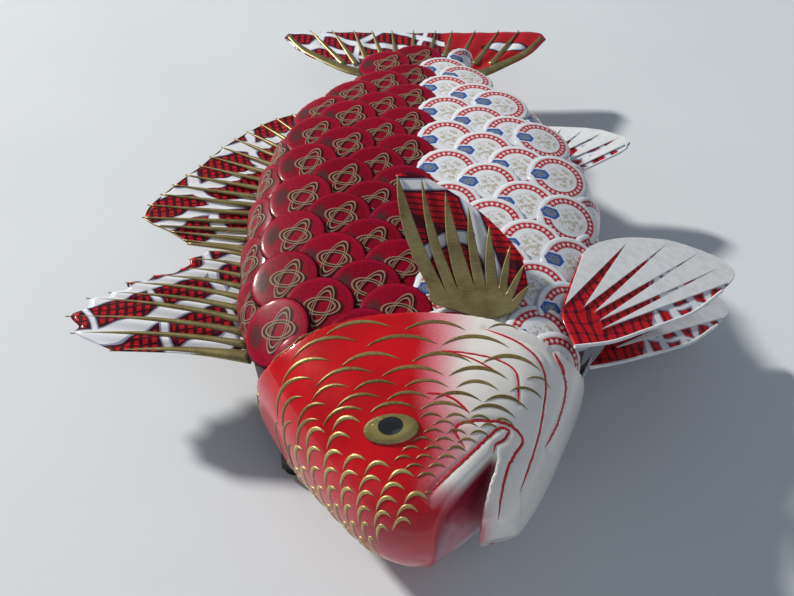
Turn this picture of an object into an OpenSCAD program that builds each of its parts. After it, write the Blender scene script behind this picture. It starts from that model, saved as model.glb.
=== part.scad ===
// Decorative sea bream sculpture lying on its side: a lacquered head, a body
// clad with pressed metal caps in overlapping rows, and thin sheet metal fins
// with tapered rays.
// Frame: +Y towards the tail, -X the back of the fish, +X its belly, +Z up.
// The feet stand on Z = 0 and the fish's middle plane lies at mid_z.

/* [Body] */
// Height of the fish's middle plane above the floor
mid_z = 45; // [40:1:55]
// Thickness of the underside as a share of the upper side
low = 0.85; // [0.7:0.05:1]
// Depth of the core below the cap surface
core_inset = 3; // [2:0.5:5]
// Roundness of the body section, 2 is an ellipse
body_p = 3.6; // [2:0.1:4.5]

/* [Caps] */
// Cap diameter
cap_d = 31; // [26:0.5:33]
// Tilt that lifts the tailward rim of each cap over the next one
cap_tilt = 9; // [6:0.5:12]

/* [Head] */
// Roundness of the face, which fades into the body's at the rear rim
head_p = 2.3; // [2:0.1:3]
// How far the sides of the head's rear rim sweep forward
rim_sweep = 17; // [5:1:25]
// How far the rim bows forward between its middle and its sides
rim_bow = 9; // [0:1:12]
// Wall of the rear rim
rim_wall = 1.8; // [1:0.1:3]
// Length of the oval eyes
eye_d = 21; // [16:0.5:26]
// Height of the eyes as a share of their length
eye_oval = 0.56; // [0.5:0.02:1]

/* [Fins] */
// Sheet thickness of every fin
fin_t = 1.2; // [0.8:0.1:2]
// Gap between a fin's sheet and its rays
ray_gap = 0.1; // [0.05:0.05:0.3]
// Angle at which the pectoral fin stands off the body
pectoral_lift = 28; // [15:1:40]

/* [Base] */
// Thickness of the back board
board_t = 5; // [3:0.5:8]
// Height of the rubber feet
foot_h = 4.5; // [3:0.5:8]
// Diameter of the rubber feet
foot_d = 13; // [10:0.5:18]

/* [Hidden] */
$fn = 48;
shift_x = 10;
shift_y = -6.3;
core_n = 40;
head_n = 48;
// Where along the fish the head's section starts and ends fading
face_end = -160;
rim_start = -105;
// Outline of the body, [y, value]: back edge, belly edge, half thickness
back_edge = [[-125, -72], [-80, -86], [-30, -89], [20, -86], [65, -73],
    [96, -52.5], [117, -40.5], [140, -35], [165, -37], [178, -40]];
belly_edge = [[-125, 66], [-80, 81], [-30, 90], [10, 91], [65, 74],
    [96, 55.5], [117, 39], [140, 34.5], [165, 39], [178, 42]];
half_t = [[-125, 37], [-60, 37.5], [-10, 37], [40, 34], [80, 29],
    [110, 24], [140, 19], [178, 16]];
// Outline of the head, the same three curves
head_back = [[-194.5, -5], [-192.5, -14], [-189, -21], [-183, -28.5],
    [-177, -34], [-165, -44.5], [-149, -57], [-125, -71], [-107, -79],
    [-90, -86]];
head_belly = [[-194.5, 0], [-192.5, 12], [-190.5, 24], [-188, 30],
    [-182, 36], [-165, 47.5], [-140, 60], [-125, 67], [-107, 74], [-90, 81]];
head_half = [[-194.5, 4], [-192.5, 12], [-189, 18.5], [-183, 24.5],
    [-177, 28.5], [-165, 33.5], [-149, 38], [-125, 40.5], [-107, 41],
    [-90, 41]];
// Share of the body's half width at which the edge caps sit
edge_share = 0.95;
// Share of each fin ray bay left open on either side of a wedge
wedge_gap = 0.08;
// Plan point of the eyes on the head
eye_at = [-14.7, -158.5];
mouth_outline = [[25, -165.5], [22, -168.2], [17, -172.6], [10, -178.6],
    [4, -184], [0, -190], [-1, -197], [0, -212], [20, -212], [19.9, -197],
    [19.9, -190], [20.6, -184], [22.2, -178], [24.4, -172], [26, -166.6]];

// Smooth curve through the points of k
function seg(k, y, i = 0) =
    (i >= len(k) - 2 || y < k[i + 1][0]) ? i : seg(k, y, i + 1);
function slope(k, i) = let (a = max(i - 1, 0), b = min(i + 1, len(k) - 1))
    (k[b][1] - k[a][1]) / (k[b][0] - k[a][0]);
function at(k, y) = let (i = seg(k, y), h = k[i + 1][0] - k[i][0],
    s = (y - k[i][0]) / h, q = s * s, c = q * s)
    k[i][1] * (2 * c - 3 * q + 1) + h * slope(k, i) * (c - 2 * q + s)
    + k[i + 1][1] * (3 * q - 2 * c) + h * slope(k, i + 1) * (c - q);
function spow(v, p) = sign(v) * pow(abs(v), p);
function mid_x(y) = (at(back_edge, y) + at(belly_edge, y)) / 2;
function half_w(y) = (at(belly_edge, y) - at(back_edge, y)) / 2;
// Height of the cap surface over the plan point x, y
function top_z(x, y) = let (t = min(abs((x - mid_x(y)) / half_w(y)), 0.999))
    mid_z + at(half_t, y) * pow(1 - pow(t, body_p), 1 / body_p);
function head_pow(y) = head_p + (body_p - head_p)
    * max(0, min(1, (y - face_end) / (rim_start - face_end)));
function head_z(x, y) = let (a = at(head_back, y), b = at(head_belly, y),
    t = min(abs((2 * x - a - b) / (b - a)), 0.999), p = head_pow(y))
    mid_z + at(head_half, y) * pow(1 - pow(t, p), 1 / p);
function unit(v) = v / norm(v);

// One cross section of the core, inset from the cap surface
function core_ring(y) = [for (i = [0:core_n - 1]) let (a = 360 * i / core_n,
    h = at(half_t, y) - core_inset)
    [mid_x(y) + (half_w(y) - core_inset - 1) * spow(cos(a), 2 / body_p), y,
     mid_z + (sin(a) > 0 ? h : h * low) * spow(sin(a), 2 / body_p)]];
// One ring of the head: f is how much of the rim sweep it takes, d the inset
function head_ring(y0, f, d) = [for (i = [0:head_n - 1])
    let (a = 360 * i / head_n, u = spow(cos(a), 2 / head_pow(y0)),
    y = y0 - f * u * u * (rim_sweep + rim_bow * (1 - pow(u, 8))),
    l = at(head_back, y) + d, r = at(head_belly, y) - d,
    h = at(head_half, y) - d, p = head_pow(y),
    v = pow(max(0, 1 - pow(abs(u), p)), 1 / p))
    [(l + r) / 2 + (r - l) / 2 * u, y,
     mid_z + (sin(a) > 0 ? h * v : -h * low * v)]];

module skin(rings) {
    n = len(rings[0]);
    m = len(rings);
    polyhedron(points = [for (r = rings) for (p = r) p], faces = concat(
        [[for (i = [0:n - 1]) i]],
        [[for (i = [n - 1:-1:0]) (m - 1) * n + i]],
        [for (j = [0:m - 2]) for (i = [0:n - 1])
            [j * n + i, (j + 1) * n + i, j * n + (i + 1) % n]],
        [for (j = [0:m - 2]) for (i = [0:n - 1])
            [j * n + (i + 1) % n, (j + 1) * n + i,
             (j + 1) * n + (i + 1) % n]]));
}

// Moves the fish so that the frame's origin is under the middle of its box
module place() translate([shift_x, shift_y, 0]) children();

module body_core() color("dimgray") place()
    skin([for (y = [-122, -105, -85, -65, -45, -25, -5, 15, 30, 45, 58, 70,
        82, 94, 106, 118, 130, 142, 155, 168]) core_ring(y)]);

// Solid face with an open mouth and, behind, a socket over the body
module head_shell() color("crimson") place() difference() {
    skin(concat(
        [for (y = [-194.5, -193.7, -192.5, -190.5, -188, -185, -181, -176,
            -170, -163, -155, -147, -139, -132]) head_ring(y, 0, 0)],
        [for (s = [0.25, 0.5, 0.75, 1]) head_ring(-132 + 30 * s, s, 0)],
        [for (s = [1, 0.6, 0.2]) head_ring(-126 + 24 * s, s, rim_wall)],
        [head_ring(-127, 0, rim_wall)]));
    translate([0, 0, -5]) linear_extrude(110) polygon(mouth_outline);
}

// Places a child on the cap surface at x, y, tilted so its tailward side rises
module on_body(x, y, tilt, side = 1) {
    d = 0.5;
    nz = unit([top_z(x - d, y) - top_z(x + d, y),
        top_z(x, y - d) - top_z(x, y + d), 2 * d]);
    tv = unit([0, 1, 0] - nz[1] * nz);
    b = cross(tv, nz);
    t2 = tv * cos(tilt) + nz * sin(tilt);
    n2 = nz * cos(tilt) - tv * sin(tilt);
    z = side > 0 ? top_z(x, y) : mid_z + (top_z(x, y) - mid_z) * low;
    if (side > 0)
        multmatrix([[b[0], t2[0], n2[0], x], [b[1], t2[1], n2[1], y],
            [b[2], t2[2], n2[2], z], [0, 0, 0, 1]]) children();
    else
        translate([0, 0, 2 * mid_z]) mirror([0, 0, 1])
            multmatrix([[b[0], t2[0], n2[0], x], [b[1], t2[1], n2[1], y],
                [b[2], t2[2], n2[2], z], [0, 0, 0, 1]]) children();
}

// One pressed cap: a shallow disc with its rim turned down
module cap() {
    r = cap_d / 2;
    rotate_extrude() polygon([[0, 0.3], [r - 3, 0.2], [r - 0.5, -0.1],
        [r, -0.45], [r - 0.3, -0.6], [r - 3, -0.35], [0, -0.3]]);
}

// A column of caps: x at the nape and at the tail, first y, pitch, count
module column(x1, x2, y1, pitch, n, side = 1)
    for (i = [0:n - 1]) let (y = y1 + pitch * i,
        x = x1 + (x2 - x1) * (y + 100) / 200)
        on_body(x, y, cap_tilt, side) cap();

module crimson_caps_1() color("firebrick") place() column(-67, -58, -99, 29.3, 6);
module crimson_caps_2() color("firebrick") place() column(-45, -36, -96, 30, 6);
module crimson_caps_3() color("firebrick") place() column(-26, -18, -85.5, 29.5, 9);
module crimson_caps_4() color("firebrick") place() column(-10, 1, -98.5, 29.5, 9);
module white_caps_1() color("white") place() column(11, 18, -84, 29.6, 9);
module white_caps_2() color("white") place() column(31, 34, -101, 30, 6);
module white_caps_3() color("white") place() column(49, 51, -80, 29, 5);
module white_caps_4() color("white") place() column(68, 62, -96, 29.5, 5);
// Caps that wrap over an edge, above and below the middle plane
module edge_caps(s, y1, pitch, n)
    for (i = [0:n - 1]) for (side = [1, -1])
        let (y = y1 + pitch * i,
            x = mid_x(y) + s * half_w(y) * edge_share)
            on_body(x, y, cap_tilt + 2, side) cap();
module back_edge_caps() color("firebrick") place() edge_caps(-1, -85, 29.3, 6);
module belly_edge_caps() color("white") place() edge_caps(1, -41, 29.5, 4);
module crimson_caps_under() color("firebrick") place() {
    column(-60, -52, -99, 29.3, 5, -1);
    column(-34, -22, 84, 30, 3, -1);
    column(-10, 1, 78.5, 29.5, 3, -1);
}
module white_caps_under() color("white") place() {
    column(58, 54, -81, 29.5, 5, -1);
    column(28, 20, 98, 30, 3, -1);
}

// Oval eyes: a flat iris disc under a domed glass
function head_up(x, y) = unit([head_z(x - 1, y) - head_z(x + 1, y),
    head_z(x, y - 1) - head_z(x, y + 1), 2]);
module on_head(p, side) {
    nz = head_up(p[0], p[1]);
    tv = unit([0, 1, 0] - nz[1] * nz);
    b = cross(tv, nz);
    z = head_z(p[0], p[1]);
    translate([0, 0, side > 0 ? 0 : 2 * mid_z]) mirror([0, 0, side > 0 ? 0 : 1])
        multmatrix([[b[0], tv[0], nz[0], p[0]], [b[1], tv[1], nz[1], p[1]],
            [b[2], tv[2], nz[2], side > 0 ? z : mid_z + (z - mid_z) * low],
            [0, 0, 0, 1]])
            children();
}
module iris() translate([0, 0, 0.15]) scale([1, eye_oval, 1])
    cylinder(h = 0.6, d = eye_d - 1);
module eye_glass() translate([0, 0, 0.8]) scale([1, eye_oval, 1])
    intersection() {
        cylinder(h = 6, d = eye_d);
        translate([0, 0, -9.5]) sphere(r = 13, $fn = 64);
    }
module left_eye_glass() color("khaki") place() on_head(eye_at, 1) eye_glass();
module left_iris() color("olive") place() on_head(eye_at, 1) iris();
module right_eye_glass() color("khaki") place() on_head(eye_at, -1) eye_glass();
module right_iris() color("olive") place() on_head(eye_at, -1) iris();

// Fin sheet lying in a level plane at height z
module sheet(z) translate([0, 0, z - fin_t / 2]) linear_extrude(fin_t)
    children();
// Outline of a tapered blade from plan point a to b
module blade(a, b, w1, w2) let (d = unit(b - a), n = [-d[1], d[0]] / 2)
    polygon([a + n * w1, a - n * w1, b - n * w2, b + n * w2]);
// Wedge from the point a to most of the line between b and c
module wedge(a, b, c)
    polygon([a, b + wedge_gap * (c - b), c - wedge_gap * (c - b)]);
// Blades of height h lying on both faces of the sheet at height z
module rays(z, h) for (s = [1, -1])
    translate([0, 0, z + s * (fin_t + h + 2 * ray_gap) / 2 - h / 2])
        linear_extrude(h) children();

spiny_tips = [[-146, -89], [-167, -78], [-172, -67], [-165, -55],
    [-155, -51], [-148, -44], [-135, -39], [-122, -34], [-119, -27],
    [-110, -21]];
spiny_n = len(spiny_tips);
function spiny_root(i) = let (y = -93 + 66 * i / (spiny_n - 1))
    [at(back_edge, y) - 0.5, y];
module spiny_outline() polygon(concat(
    [for (i = [0:spiny_n - 1]) each
        i == spiny_n - 1 ? [spiny_root(i) + 0.93 * (spiny_tips[i]
            - spiny_root(i))]
        : [spiny_root(i) + 0.93 * (spiny_tips[i] - spiny_root(i)),
           (spiny_root(i) + spiny_root(i + 1)) * 0.1
           + (spiny_tips[i] + spiny_tips[i + 1]) * 0.4]],
    [for (i = [spiny_n - 1:-1:0]) spiny_root(i)]));
module spiny_dorsal() color("gainsboro") place() sheet(mid_z) spiny_outline();
module spiny_dorsal_rays() color("goldenrod") place() rays(mid_z, 2)
    for (i = [0:spiny_n - 1])
        blade(spiny_root(i), spiny_tips[i], 5, 0.8);

soft_edge = [[-121, -15], [-132, -6], [-147, 4], [-147, 14], [-141, 25],
    [-133, 38], [-125, 49], [-115, 66], [-103, 81], [-89, 94], [-72, 102],
    [-59, 99]];
soft_n = 17;
function soft_root(y) = [at(back_edge, y) - 0.5, y];
// Point at share u along the fin's free edge
function along(l, u) = let (k = u * (len(l) - 1),
    i = min(floor(k), len(l) - 2)) l[i] + (k - i) * (l[i + 1] - l[i]);
module soft_outline() polygon(concat(soft_edge,
    [for (y = [93:-9.5:-22]) soft_root(y)]));
module soft_dorsal() color("gainsboro") place() sheet(mid_z) soft_outline();
module soft_dorsal_rays() color("goldenrod") place() rays(mid_z, 1.2)
    for (i = [0:soft_n - 1]) let (a = soft_root(-20 + 110 * i / (soft_n - 1)),
        b = along(soft_edge, (i + 0.3) / soft_n))
        blade(a, a + 1.03 * (b - a), 2.6, 0.8);

tail_z = 42;
tail_roots = [-47, -39, -31, -20, -12, -2, 8, 18, 28, 39, 50];
tail_tips = [-73, -57.5, -42.5, -30, -16, -1, 14.5, 26, 42, 58.5, 72.5];
module tail_outline() polygon([[-35.5, 148], [-47, 155], [-57, 162],
    [-78, 180], [-90, 198], [-87, 205], [-50, 205], [0, 204], [45, 204],
    [87, 205], [90, 196], [77, 176], [59, 160], [41, 147], [37.5, 147],
    [37.5, 170], [-35.5, 170]]);
module tail_fin() color("gainsboro") place() sheet(tail_z) tail_outline();
module tail_rays() color("goldenrod") place() rays(tail_z, 1)
    for (i = [0:len(tail_tips) - 1])
        blade([tail_roots[i], 165], [tail_tips[i], 206.5], 3.6, 1);
module tail_edge_bands() color("goldenrod") place() rays(tail_z, 1.2) {
    polygon([[-36.5, 149], [-47, 156], [-57, 163], [-78, 181], [-89.5, 198],
        [-87.5, 201], [-80, 190], [-60, 172], [-36.5, 157]]);
    polygon([[38.5, 148], [41, 148], [59, 161], [77, 177], [89.5, 196],
        [87.5, 201], [80, 190], [60, 172], [38.5, 157]]);
}

module anal_outline() polygon([[70.5, 86], [86, 89], [103, 85], [117, 80],
    [125, 73], [118, 64], [104, 54], [93, 46], [88, 38], [86.5, 38],
    [81, 60]]);
module anal_fin() color("gainsboro") place() sheet(mid_z) anal_outline();
anal_starts = [[79.5, 66], [80.5, 62.5], [82.5, 59.5], [85, 53.5], [88.5, 46]];
anal_tips = [[75.4, 86], [84.8, 85.9], [98.6, 84.8], [109.1, 81.8],
    [119, 77.5], [123, 72.3]];
module anal_fin_rays() color("white") place() rays(mid_z, 1)
    for (i = [0:len(anal_starts) - 1])
        wedge(anal_starts[i], anal_tips[i], anal_tips[i + 1]);

// The pelvic fins fan out from the belly on planes that slope down outwards:
// [plan x, height there, slope angle, move in plan] of the left and the right
pelvic_planes = [[62, 81, 15.1, [0, 0]], [76, 61, 22.8, [6, 4.4]]];
pelvic_edge = [[78.4, -111.2], [93.7, -101.8], [107.2, -93.2],
    [122.4, -82.7], [141.1, -64.4], [150, -53.1], [150.8, -48.8],
    [149.8, -45.6], [145, -41.6], [135.3, -38.2], [121.2, -36.1],
    [109.4, -37.8], [97.7, -41]];
pelvic_roots = [[[88, -45.7], [80, -62], [72, -75], [72, -113.5]],
    [[90, -44.4], [82.5, -66.4], [77.5, -97.4], [72, -113.5]]];
pelvic_starts = [[73, -94.3], [74, -96.3], [75.5, -98.5], [76, -101.5],
    [76, -105.6]];
pelvic_tips = [[82, -60], [97.1, -45], [118.7, -39.3], [134.8, -41.1],
    [143.4, -49.1], [145.1, -59]];
// Plan points l of fin i, measured on its sloping plane
function on_slope(i, l) = let (p = pelvic_planes[i])
    [for (q = l) [(q[0] + p[3][0] - p[0]) / cos(p[2]), q[1] + p[3][1]]];
module pelvic_place(i) translate([pelvic_planes[i][0], 0, pelvic_planes[i][1]])
    rotate([0, pelvic_planes[i][2], 0]) children();
module pelvic_shape(i)
    polygon(on_slope(i, concat(pelvic_edge, pelvic_roots[i])));
module pelvic_fin(i) place() pelvic_place(i) sheet(0) pelvic_shape(i);
module pelvic_rays(i) place() pelvic_place(i)
    let (a = on_slope(i, pelvic_starts), b = on_slope(i, pelvic_tips))
        rays(0, 1) intersection() {
            for (j = [0:len(a) - 1]) wedge(a[j], b[j], b[j + 1]);
            offset(delta = -0.5) pelvic_shape(i);
        }
module left_pelvic_fin() color("gainsboro") pelvic_fin(0);
module left_pelvic_rays() color("white") pelvic_rays(0);
module right_pelvic_fin() color("gainsboro") pelvic_fin(1);
module right_pelvic_rays() color("white") pelvic_rays(1);

// The pectoral fin hinges up from the nape on a sloping plane
module pectoral_place() translate([0, -92, 87])
    rotate([pectoral_lift, 0, 0]) children();
module left_pectoral_fin() color("gainsboro") place() pectoral_place()
    translate([0, 0, -fin_t / 2]) linear_extrude(fin_t)
        polygon([[-13, 55], [-9, 56], [-2, 54.5], [19, 41], [31, 30],
            [41, 17], [44, 3], [37, -2], [4, -2], [-2, 15]]);
// Valleys between the tines of the comb, and the tip of each tine
comb_valleys = [[1.3, 0.9], [9, -1.3], [14.2, -0.9], [21.1, 0.9], [25.8, 1.8],
    [31, 1.3], [34.3, -0.9], [36.3, -4.5], [38.5, -7.5]];
comb_tips = [[-12.4, 54.5], [-1.7, 53], [8.9, 46.2], [18.9, 39.1],
    [27.9, 30.2], [36.8, 20.9], [42.6, 12.2], [44.3, 2.7]];
comb_taper = 2.2;
// Edge of tine i, side s, at share t of its length
function tine(i, s, t) = let (a = comb_valleys[i], b = comb_valleys[i + 1],
    w = (a - b) / 2 * (1 - pow(t, comb_taper)))
    (a + b) / 2 * (1 - t) + comb_tips[i] * t + s * w;
module left_pectoral_comb() color("goldenrod") place() pectoral_place()
    translate([0, 0, fin_t / 2 + 0.2]) linear_extrude(1.4) polygon(concat(
        [for (i = [0:len(comb_tips) - 1]) each concat(
            [for (t = [0:0.2:1]) tine(i, 1, t)],
            [for (t = [0.8:-0.2:0.2]) tine(i, -1, t)])],
        [[37, -9], [26, -12.5], [14, -9], [2, -4.5]]));

module board_outline() polygon([[-50, -128], [-66, -127], [-67, -118],
    [-44, 40], [-36, 60], [-26, 66], [26, 66], [36, 60], [46, 30],
    [56, -105], [52, -118], [44, -121]]);
module back_board() color("black") place() translate([0, 0, foot_h + 0.1])
    linear_extrude(board_t) board_outline();
module spacers() color("black") place()
    for (p = [[-22, 25], [22, 25], [-22, -50], [22, -50]])
        translate([p[0], p[1], foot_h + board_t + 0.2])
            cylinder(h = mid_z - (at(half_t, p[1]) - core_inset) * low
                - foot_h - board_t - 0.7, d = 12);
module rubber_feet() color("black") place()
    for (p = [[-60, -121], [47, -113], [-30, 56], [30, 56]])
        translate([p[0], p[1], 0])
            cylinder(h = foot_h, d1 = foot_d, d2 = foot_d - 2);

body_core();
head_shell();
left_eye_glass();
left_iris();
right_eye_glass();
right_iris();
crimson_caps_1();
crimson_caps_2();
crimson_caps_3();
crimson_caps_4();
white_caps_1();
white_caps_2();
white_caps_3();
white_caps_4();
back_edge_caps();
belly_edge_caps();
crimson_caps_under();
white_caps_under();
spiny_dorsal();
spiny_dorsal_rays();
soft_dorsal();
soft_dorsal_rays();
tail_fin();
tail_rays();
tail_edge_bands();
anal_fin();
anal_fin_rays();
left_pelvic_fin();
left_pelvic_rays();
right_pelvic_fin();
right_pelvic_rays();
left_pectoral_fin();
left_pectoral_comb();
back_board();
spacers();
rubber_feet();
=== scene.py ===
import math

import bmesh
import bpy
import numpy as np
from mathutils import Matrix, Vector
from mathutils.bvhtree import BVHTree


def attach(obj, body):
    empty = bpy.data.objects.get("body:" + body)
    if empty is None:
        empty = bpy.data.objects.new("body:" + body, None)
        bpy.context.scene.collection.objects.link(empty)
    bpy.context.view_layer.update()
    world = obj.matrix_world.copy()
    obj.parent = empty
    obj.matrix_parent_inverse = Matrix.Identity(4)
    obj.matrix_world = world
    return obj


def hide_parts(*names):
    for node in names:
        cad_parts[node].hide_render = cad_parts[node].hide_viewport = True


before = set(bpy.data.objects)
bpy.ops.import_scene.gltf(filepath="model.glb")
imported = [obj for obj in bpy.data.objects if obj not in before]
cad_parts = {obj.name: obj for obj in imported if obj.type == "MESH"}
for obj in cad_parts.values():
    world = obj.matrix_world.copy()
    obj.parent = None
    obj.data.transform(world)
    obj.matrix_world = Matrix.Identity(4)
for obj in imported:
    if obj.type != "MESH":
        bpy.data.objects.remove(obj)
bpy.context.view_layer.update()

# ---------------------------------------------------------------- units and the fish's own axes
# The fish is drawn in millimetres on its own axes: +y to the tail, -x its back, +x its belly,
# z up from the floor. SHIFT moves those axes to the frame's origin under the middle of the box.
MM = 0.001
SHIFT = np.array([10.0, -6.3, 0.0])
MID_Z = 45.0
# the lower flank's depth as a share of the upper one's
LOW = 0.85
rng = np.random.default_rng(7)


def to_frame(points):
    return (np.asarray(points, float) + SHIFT) * MM


# ---------------------------------------------------------------- node trees
class Wire:
    """A value in a material's node tree. Arithmetic on wires adds math nodes."""

    def __init__(self, paint, socket):
        self.paint, self.socket = paint, socket

    def math(self, operation, *others, clamp=False):
        inputs = dict(enumerate((self, *others)))
        return self.paint.node("ShaderNodeMath", 0, inputs, operation=operation, use_clamp=clamp)

    def __add__(self, other):
        return self.math("ADD", other)

    def __sub__(self, other):
        return self.math("SUBTRACT", other)

    def __mul__(self, other):
        return self.math("MULTIPLY", other)

    def __truediv__(self, other):
        return self.math("DIVIDE", other)

    def __abs__(self):
        return self.math("ABSOLUTE")

    def step(self, low, high):
        """0 below low, 1 above high, smooth between; falls instead if low > high."""
        ends = (low, high, 0.0, 1.0) if low < high else (high, low, 1.0, 0.0)
        inputs = dict(zip(("From Min", "From Max", "To Min", "To Max"), ends), Value=self)
        return self.paint.node("ShaderNodeMapRange", "Result", inputs,
                               interpolation_type="SMOOTHSTEP")

    def near(self, at, half, soft=0.015):
        """1 within half of at."""
        return abs(self - at).step(half + soft, half - soft)

    def mix(self, a, b):
        """Colour a where the wire is 0, b where it is 1."""
        return self.paint.node("ShaderNodeMix", 2, {0: self, 6: a, 7: b}, data_type="RGBA")

    def fade(self, low, high, a, b):
        """Colour a up to low, b from high on."""
        return self.step(low, high).mix(a, b)


class Paint:
    """A material's node tree. here is the place in the part's frame in mm, face the UV map."""

    def __init__(self, name):
        self.material = bpy.data.materials.new(name)
        self.material.use_nodes = True
        self.tree = self.material.node_tree
        self.shader = self.tree.nodes["Principled BSDF"]
        self.here = self.node("ShaderNodeVectorMath", 0,
                              {0: self.node("ShaderNodeTexCoord", "Object"), "Scale": 1 / MM},
                              operation="SCALE")
        self.face = self.node("ShaderNodeUVMap", "UV", uv_map="Face")

    def node(self, kind, output, inputs=(), **settings):
        """Adds a node and gives the wire that leaves it."""
        made = self.tree.nodes.new(kind)
        for key, value in settings.items():
            setattr(made, key, value)
        for key, value in dict(inputs).items():
            self.put(made.inputs[key], value)
        return Wire(self, made.outputs[output])

    def put(self, socket, value):
        if isinstance(value, Wire):
            self.tree.links.new(value.socket, socket)
        else:
            socket.default_value = (*value, 1) if socket.type == "RGBA" else value

    def noise(self, scale, detail, rough=0.5, at=None):
        inputs = {"Vector": self.here if at is None else at, "Scale": scale, "Detail": detail,
                  "Roughness": rough}
        return self.node("ShaderNodeTexNoise", "Fac", inputs)

    def split(self, vector):
        first = self.node("ShaderNodeSeparateXYZ", 0, {0: vector})
        return [Wire(self, socket) for socket in first.socket.node.outputs]

    def join(self, x, y, z=0.0):
        return self.node("ShaderNodeCombineXYZ", 0, {0: x, 1: y, 2: z})

    def attribute(self, name):
        return self.node("ShaderNodeAttribute", "Fac", attribute_name=name)

    def bump(self, height, strength, distance=0.0004):
        inputs = {"Height": height, "Strength": strength, "Distance": distance}
        self.put(self.shader.inputs["Normal"], self.node("ShaderNodeBump", 0, inputs))

    def finish(self, colour, rough, **values):
        for key, value in {"Base_Color": colour, "Roughness": rough, **values}.items():
            self.put(self.shader.inputs[key.replace("_", " ")], value)
        return self.material


def most(first, *others):
    for other in others:
        first = first.math("MAXIMUM", other)
    return first


def least(first, *others):
    for other in others:
        first = first.math("MINIMUM", other)
    return first


def length(x, y):
    return (x * x + y * y).math("SQRT")


def turned(x, y, degrees):
    """A point's two wires on axes turned by some degrees."""
    c, s = math.cos(math.radians(degrees)), math.sin(math.radians(degrees))
    return x * c + y * s, y * c - x * s


# ---------------------------------------------------------------- paints of the head
def lacquer_paint():
    """Red lacquer that fades to white by the mark "white", and to a lining with painted shade by
    "mouth".
    """
    p = Paint("head_lacquer")
    _, _, up = p.split(p.here)
    cloud = p.noise(0.05, 3)
    white = p.attribute("white") + (p.noise(1.1, 2) - 0.5) * 0.16
    red = cloud.fade(0.35, 0.65, (0.46, 0.001, 0.004), (0.60, 0.002, 0.007))
    # painted sheen: a pink reflection painted over the red, low on the head's sides
    painted_sheen = (p.noise(0.12, 4) * 22.0 + up).step(84.0, 58.0)
    red = (painted_sheen * 0.5).mix(red, (0.66, 0.13, 0.17))
    pink = white.fade(0.02, 0.5, red, (0.74, 0.22, 0.27))
    pale = cloud.fade(0.4, 0.6, (0.84, 0.81, 0.77), (0.90, 0.87, 0.83))
    colour = white.fade(0.35, 0.98, pink, pale)
    # the mouth's lining: gum red, painted darker toward the top as shade under the upper lip,
    # pinker lower down
    depth = p.noise(0.08, 2) * 24.0 + up
    gum_and_shade = depth.fade(74.0, 46.0, (0.36, 0.022, 0.050), (0.72, 0.27, 0.33))
    colour = p.attribute("mouth").mix(colour, gum_and_shade)
    fine = p.noise(0.35, 4)
    p.bump(fine, 0.05)
    return p.finish(colour, fine * 0.16 + 0.22, Specular_IOR_Level=0.12, Coat_Weight=0.7,
                    Coat_Roughness=0.03)


def gold_paint():
    p = Paint("gold_enamel")
    worn = p.noise(0.9, 3)
    # lit and shaded copies of the gold, a painted highlight and a painted shade, mixed by the mark
    # "seed"
    lit_gold = worn.fade(0.3, 0.7, (0.50, 0.38, 0.13), (0.66, 0.54, 0.24))
    shaded_gold = worn.fade(0.3, 0.7, (0.19, 0.12, 0.035), (0.27, 0.19, 0.065))
    p.bump(worn, 0.25, 0.0003)
    return p.finish(p.attribute("seed").mix(shaded_gold, lit_gold), worn * 0.25 + 0.28, Metallic=0.55)


def iris_paint():
    p = Paint("iris_print")
    x, y, _ = p.split(p.face)
    radius = length(x, y)
    rays = p.noise(1.0, 3, at=p.join(y.math("ARCTAN2", x) * 6.0, radius * 1.5))
    colour = radius.fade(0.45, 0.95, (0.60, 0.50, 0.13), (0.42, 0.33, 0.08))
    colour = (rays.step(0.45, 0.7) * 0.5).mix(colour, (0.56, 0.50, 0.20))
    pupil = length(x, (y - 0.16) * 0.80)
    colour = pupil.fade(0.45, 0.42, colour, (0.004, 0.004, 0.004))
    colour = radius.fade(0.93, 0.99, colour, (0.05, 0.03, 0.01))
    p.bump(rays, 0.1)
    return p.finish(colour, rays * 0.2 + 0.2)


def glass_paint():
    p = Paint("eye_glass")
    wave = p.noise(0.2, 1)
    p.bump(wave, 0.02)
    tint = wave.mix((0.95, 0.94, 0.86), (0.99, 0.98, 0.93))
    return p.finish(tint, 0.02, Transmission_Weight=1.0, IOR=1.48)


# ---------------------------------------------------------------- paints of the caps
def oval_line(x, y, long, short, degrees):
    """About how far a point lies from an oval line, in cap radii."""
    u, v = turned(x, y, degrees)
    return abs(length(u / long, v / short) - 1.0) * ((long + short) / 2)


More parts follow.
